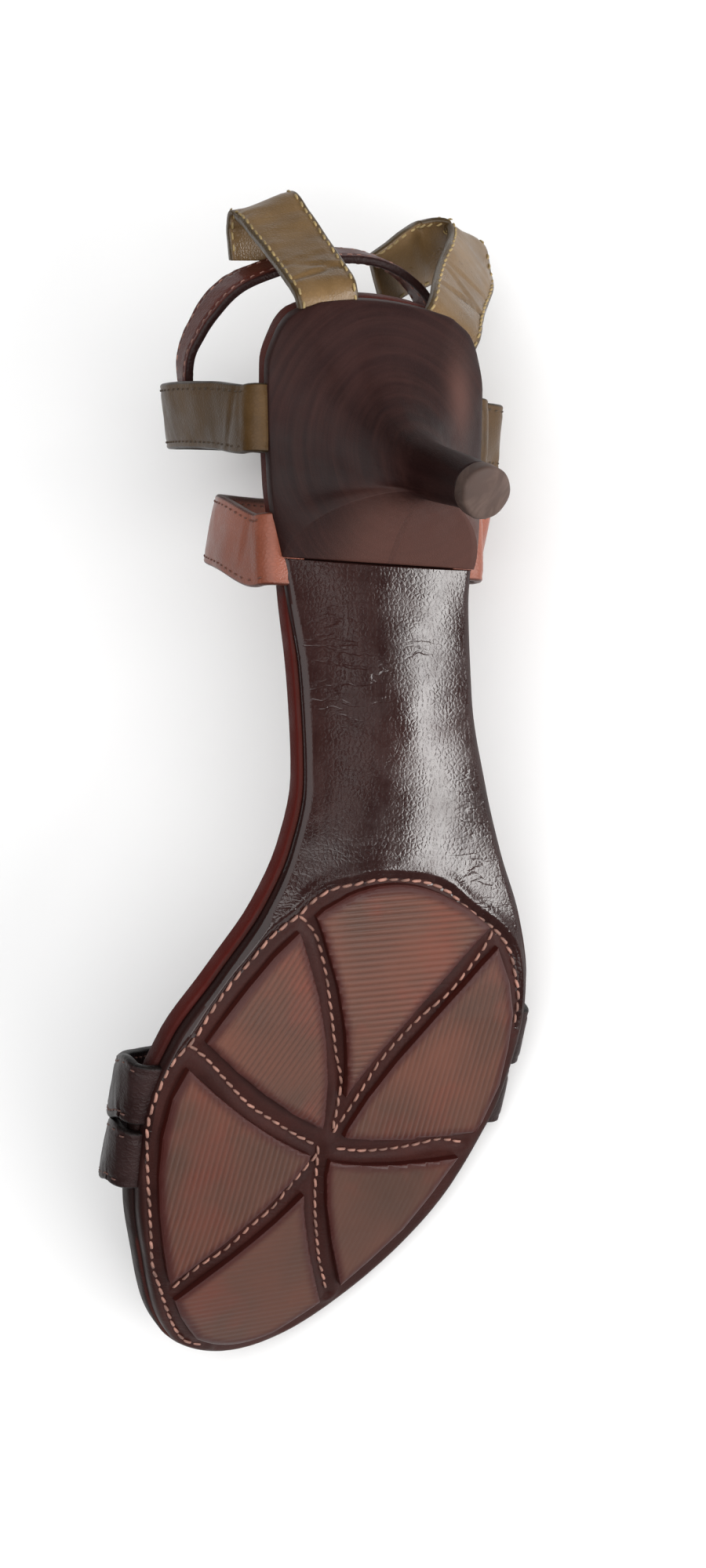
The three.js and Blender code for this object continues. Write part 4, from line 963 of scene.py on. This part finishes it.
def pad(number):
    """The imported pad, cut into a fine grid along its ribs, with the grooves pressed in and a soft dark rim."""
    name = f"tread_pad_{number}"
    bm = packed(name, 0.06)
    bm.normal_update()
    tread = [f for f in bm.faces if f.normal.z < -0.6]
    outline = []
    for e in bm.edges:
        if len(e.link_faces) == 2 and (e.link_faces[0] in tread) != (e.link_faces[1] in tread):
            a, b = (v.co.xy for v in e.verts)
            count = max(1, math.ceil((b - a).length / 0.3))
            outline += [a.lerp(b, k / count) for k in range(count + 1)]
    tree = nearest(outline)
    angle, deep = RIBS[number]
    q = math.radians(angle)
    across_ribs, along_ribs = Vector((-math.sin(q), math.cos(q), 0)), Vector((math.cos(q), math.sin(q), 0))
    geom = list(dict.fromkeys(e for f in tread for e in (*f.verts, *f.edges, f)))
    for way, step in ((across_ribs, RIB_PITCH / 4), (along_ribs, CELL)):
        reach = [v.co.dot(way) for v in geom if isinstance(v, bmesh.types.BMVert)]
        for k in range(math.ceil(min(reach) / step), math.floor(max(reach) / step) + 1):
            geom = bmesh.ops.bisect_plane(bm, geom=geom, plane_co=way * (k * step), plane_no=way)["geom"]
    cells = {f for f in geom if isinstance(f, bmesh.types.BMFace)}
    inner = {v for f in cells for v in f.verts}
    within = np.array([float(v in inner) for v in bm.verts])
    soft = [f in cells for f in bm.faces]
    p, faces = indexed(bm)
    rim = np.array([tree.find((x, y, 0))[2] for x, y, _ in p]) * within
    s = p @ np.array(across_ribs)
    wave = 0.5 + 0.5 * np.cos(2 * np.pi * s / RIB_PITCH)
    worn = 0.55 + 0.45 * smooth(-0.5, 0.3, bumpy(p, 16.0, 3.0 * number))
    groove = smooth(0.4, 1.4, rim) * deep
    p[:, 2] += within * (groove * RIB_DEEP * (1 - wave) * worn + 0.3 * (1 - smooth(0, 0.8, rim)))
    # groove and the toe value also set painted shade in the colour: darker deep grooves, and darker towards the toe.
    attrs = {"edge": 0.9 - 0.9 * smooth(0.3, 2.3, rim), "groove": groove, "rib": s,
             "toe_shade": smooth(150, 190, p[:, 0])}
    obj = make(name + "_rubber", p, faces, pad_rubber, (name,), attrs)
    obj.data.polygons.foreach_set("use_smooth", soft)


for number in RIBS:
    pad(number)


def fitting(name, finish, material, corner):
    """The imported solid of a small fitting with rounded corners."""
    points, faces = indexed(packed(name, 0.01))
    obj = make(f"{name}_{finish}", points, faces, material, (name,))
    soft = obj.modifiers.new("soft_corners", "BEVEL")
    soft.width, soft.segments = corner, 3
    soft.harden_normals = True


fitting("buckle_frame", "brass", brass, 0.0004)
fitting("buckle_prong", "brass", brass, 0.0003)
fitting("strap_keeper", "leather", keeper_leather, 0.0003)

# Floor, light and colour
mesh = bpy.data.meshes.new("floor")
mesh.from_pydata([(-3, -3, 0), (3, -3, 0), (3, 3, 0), (-3, 3, 0)], [], [(0, 1, 2, 3)])
floor = bpy.data.objects.new("floor", mesh)
mesh.materials.append(floor_paint)
bpy.context.scene.collection.objects.link(floor)


def area_light(name, spot, aim, size, power, color=(1, 1, 1)):
    data = bpy.data.lights.new(name, "AREA")
    data.shape = "RECTANGLE"
    data.size, data.size_y = size
    data.energy = power
    data.color = color
    obj = bpy.data.objects.new(name, data)
    bpy.context.scene.collection.objects.link(obj)
    obj.location = spot
    obj.rotation_euler = (Vector(aim) - Vector(spot)).to_track_quat("-Z", "Y").to_euler()


def window(name, azimuth, height, far, size, power, color):
    """A light in this direction, in degrees, as seen from the waist of the sole, which it faces."""
    aim = Vector(world([(90, 0, 18)])[0].tolist())
    a, h = math.radians(azimuth), math.radians(height)
    way = Vector((math.cos(h) * math.cos(a), math.cos(h) * math.sin(a), math.sin(h)))
    area_light(name, aim + way * far, aim, size, power, color)


window("window", azimuth=-67, height=10.2, far=1.4, size=(0.86, 0.2), power=12, color=(1.0, 0.985, 0.97))
window("window_high", azimuth=-66, height=29, far=1.4, size=(0.8, 0.05), power=0.5, color=(1.0, 0.985, 0.97))
window("open_door", azimuth=-100, height=35, far=1.8, size=(1.0, 0.8), power=12, color=(1.0, 0.99, 0.98))
area_light("ceiling", (0, -0.1, 1.7), (0, 0, 0), (2.4, 2.4), 42)
sky = bpy.data.worlds.new("studio")
bpy.context.scene.world = sky
sky.use_nodes = True
sky.node_tree.nodes["Background"].inputs[0].default_value = (1, 1, 1, 1)
sky.node_tree.nodes["Background"].inputs[1].default_value = 0.1
view = bpy.context.scene.view_settings
view.view_transform = "Standard"
view.look = "None"
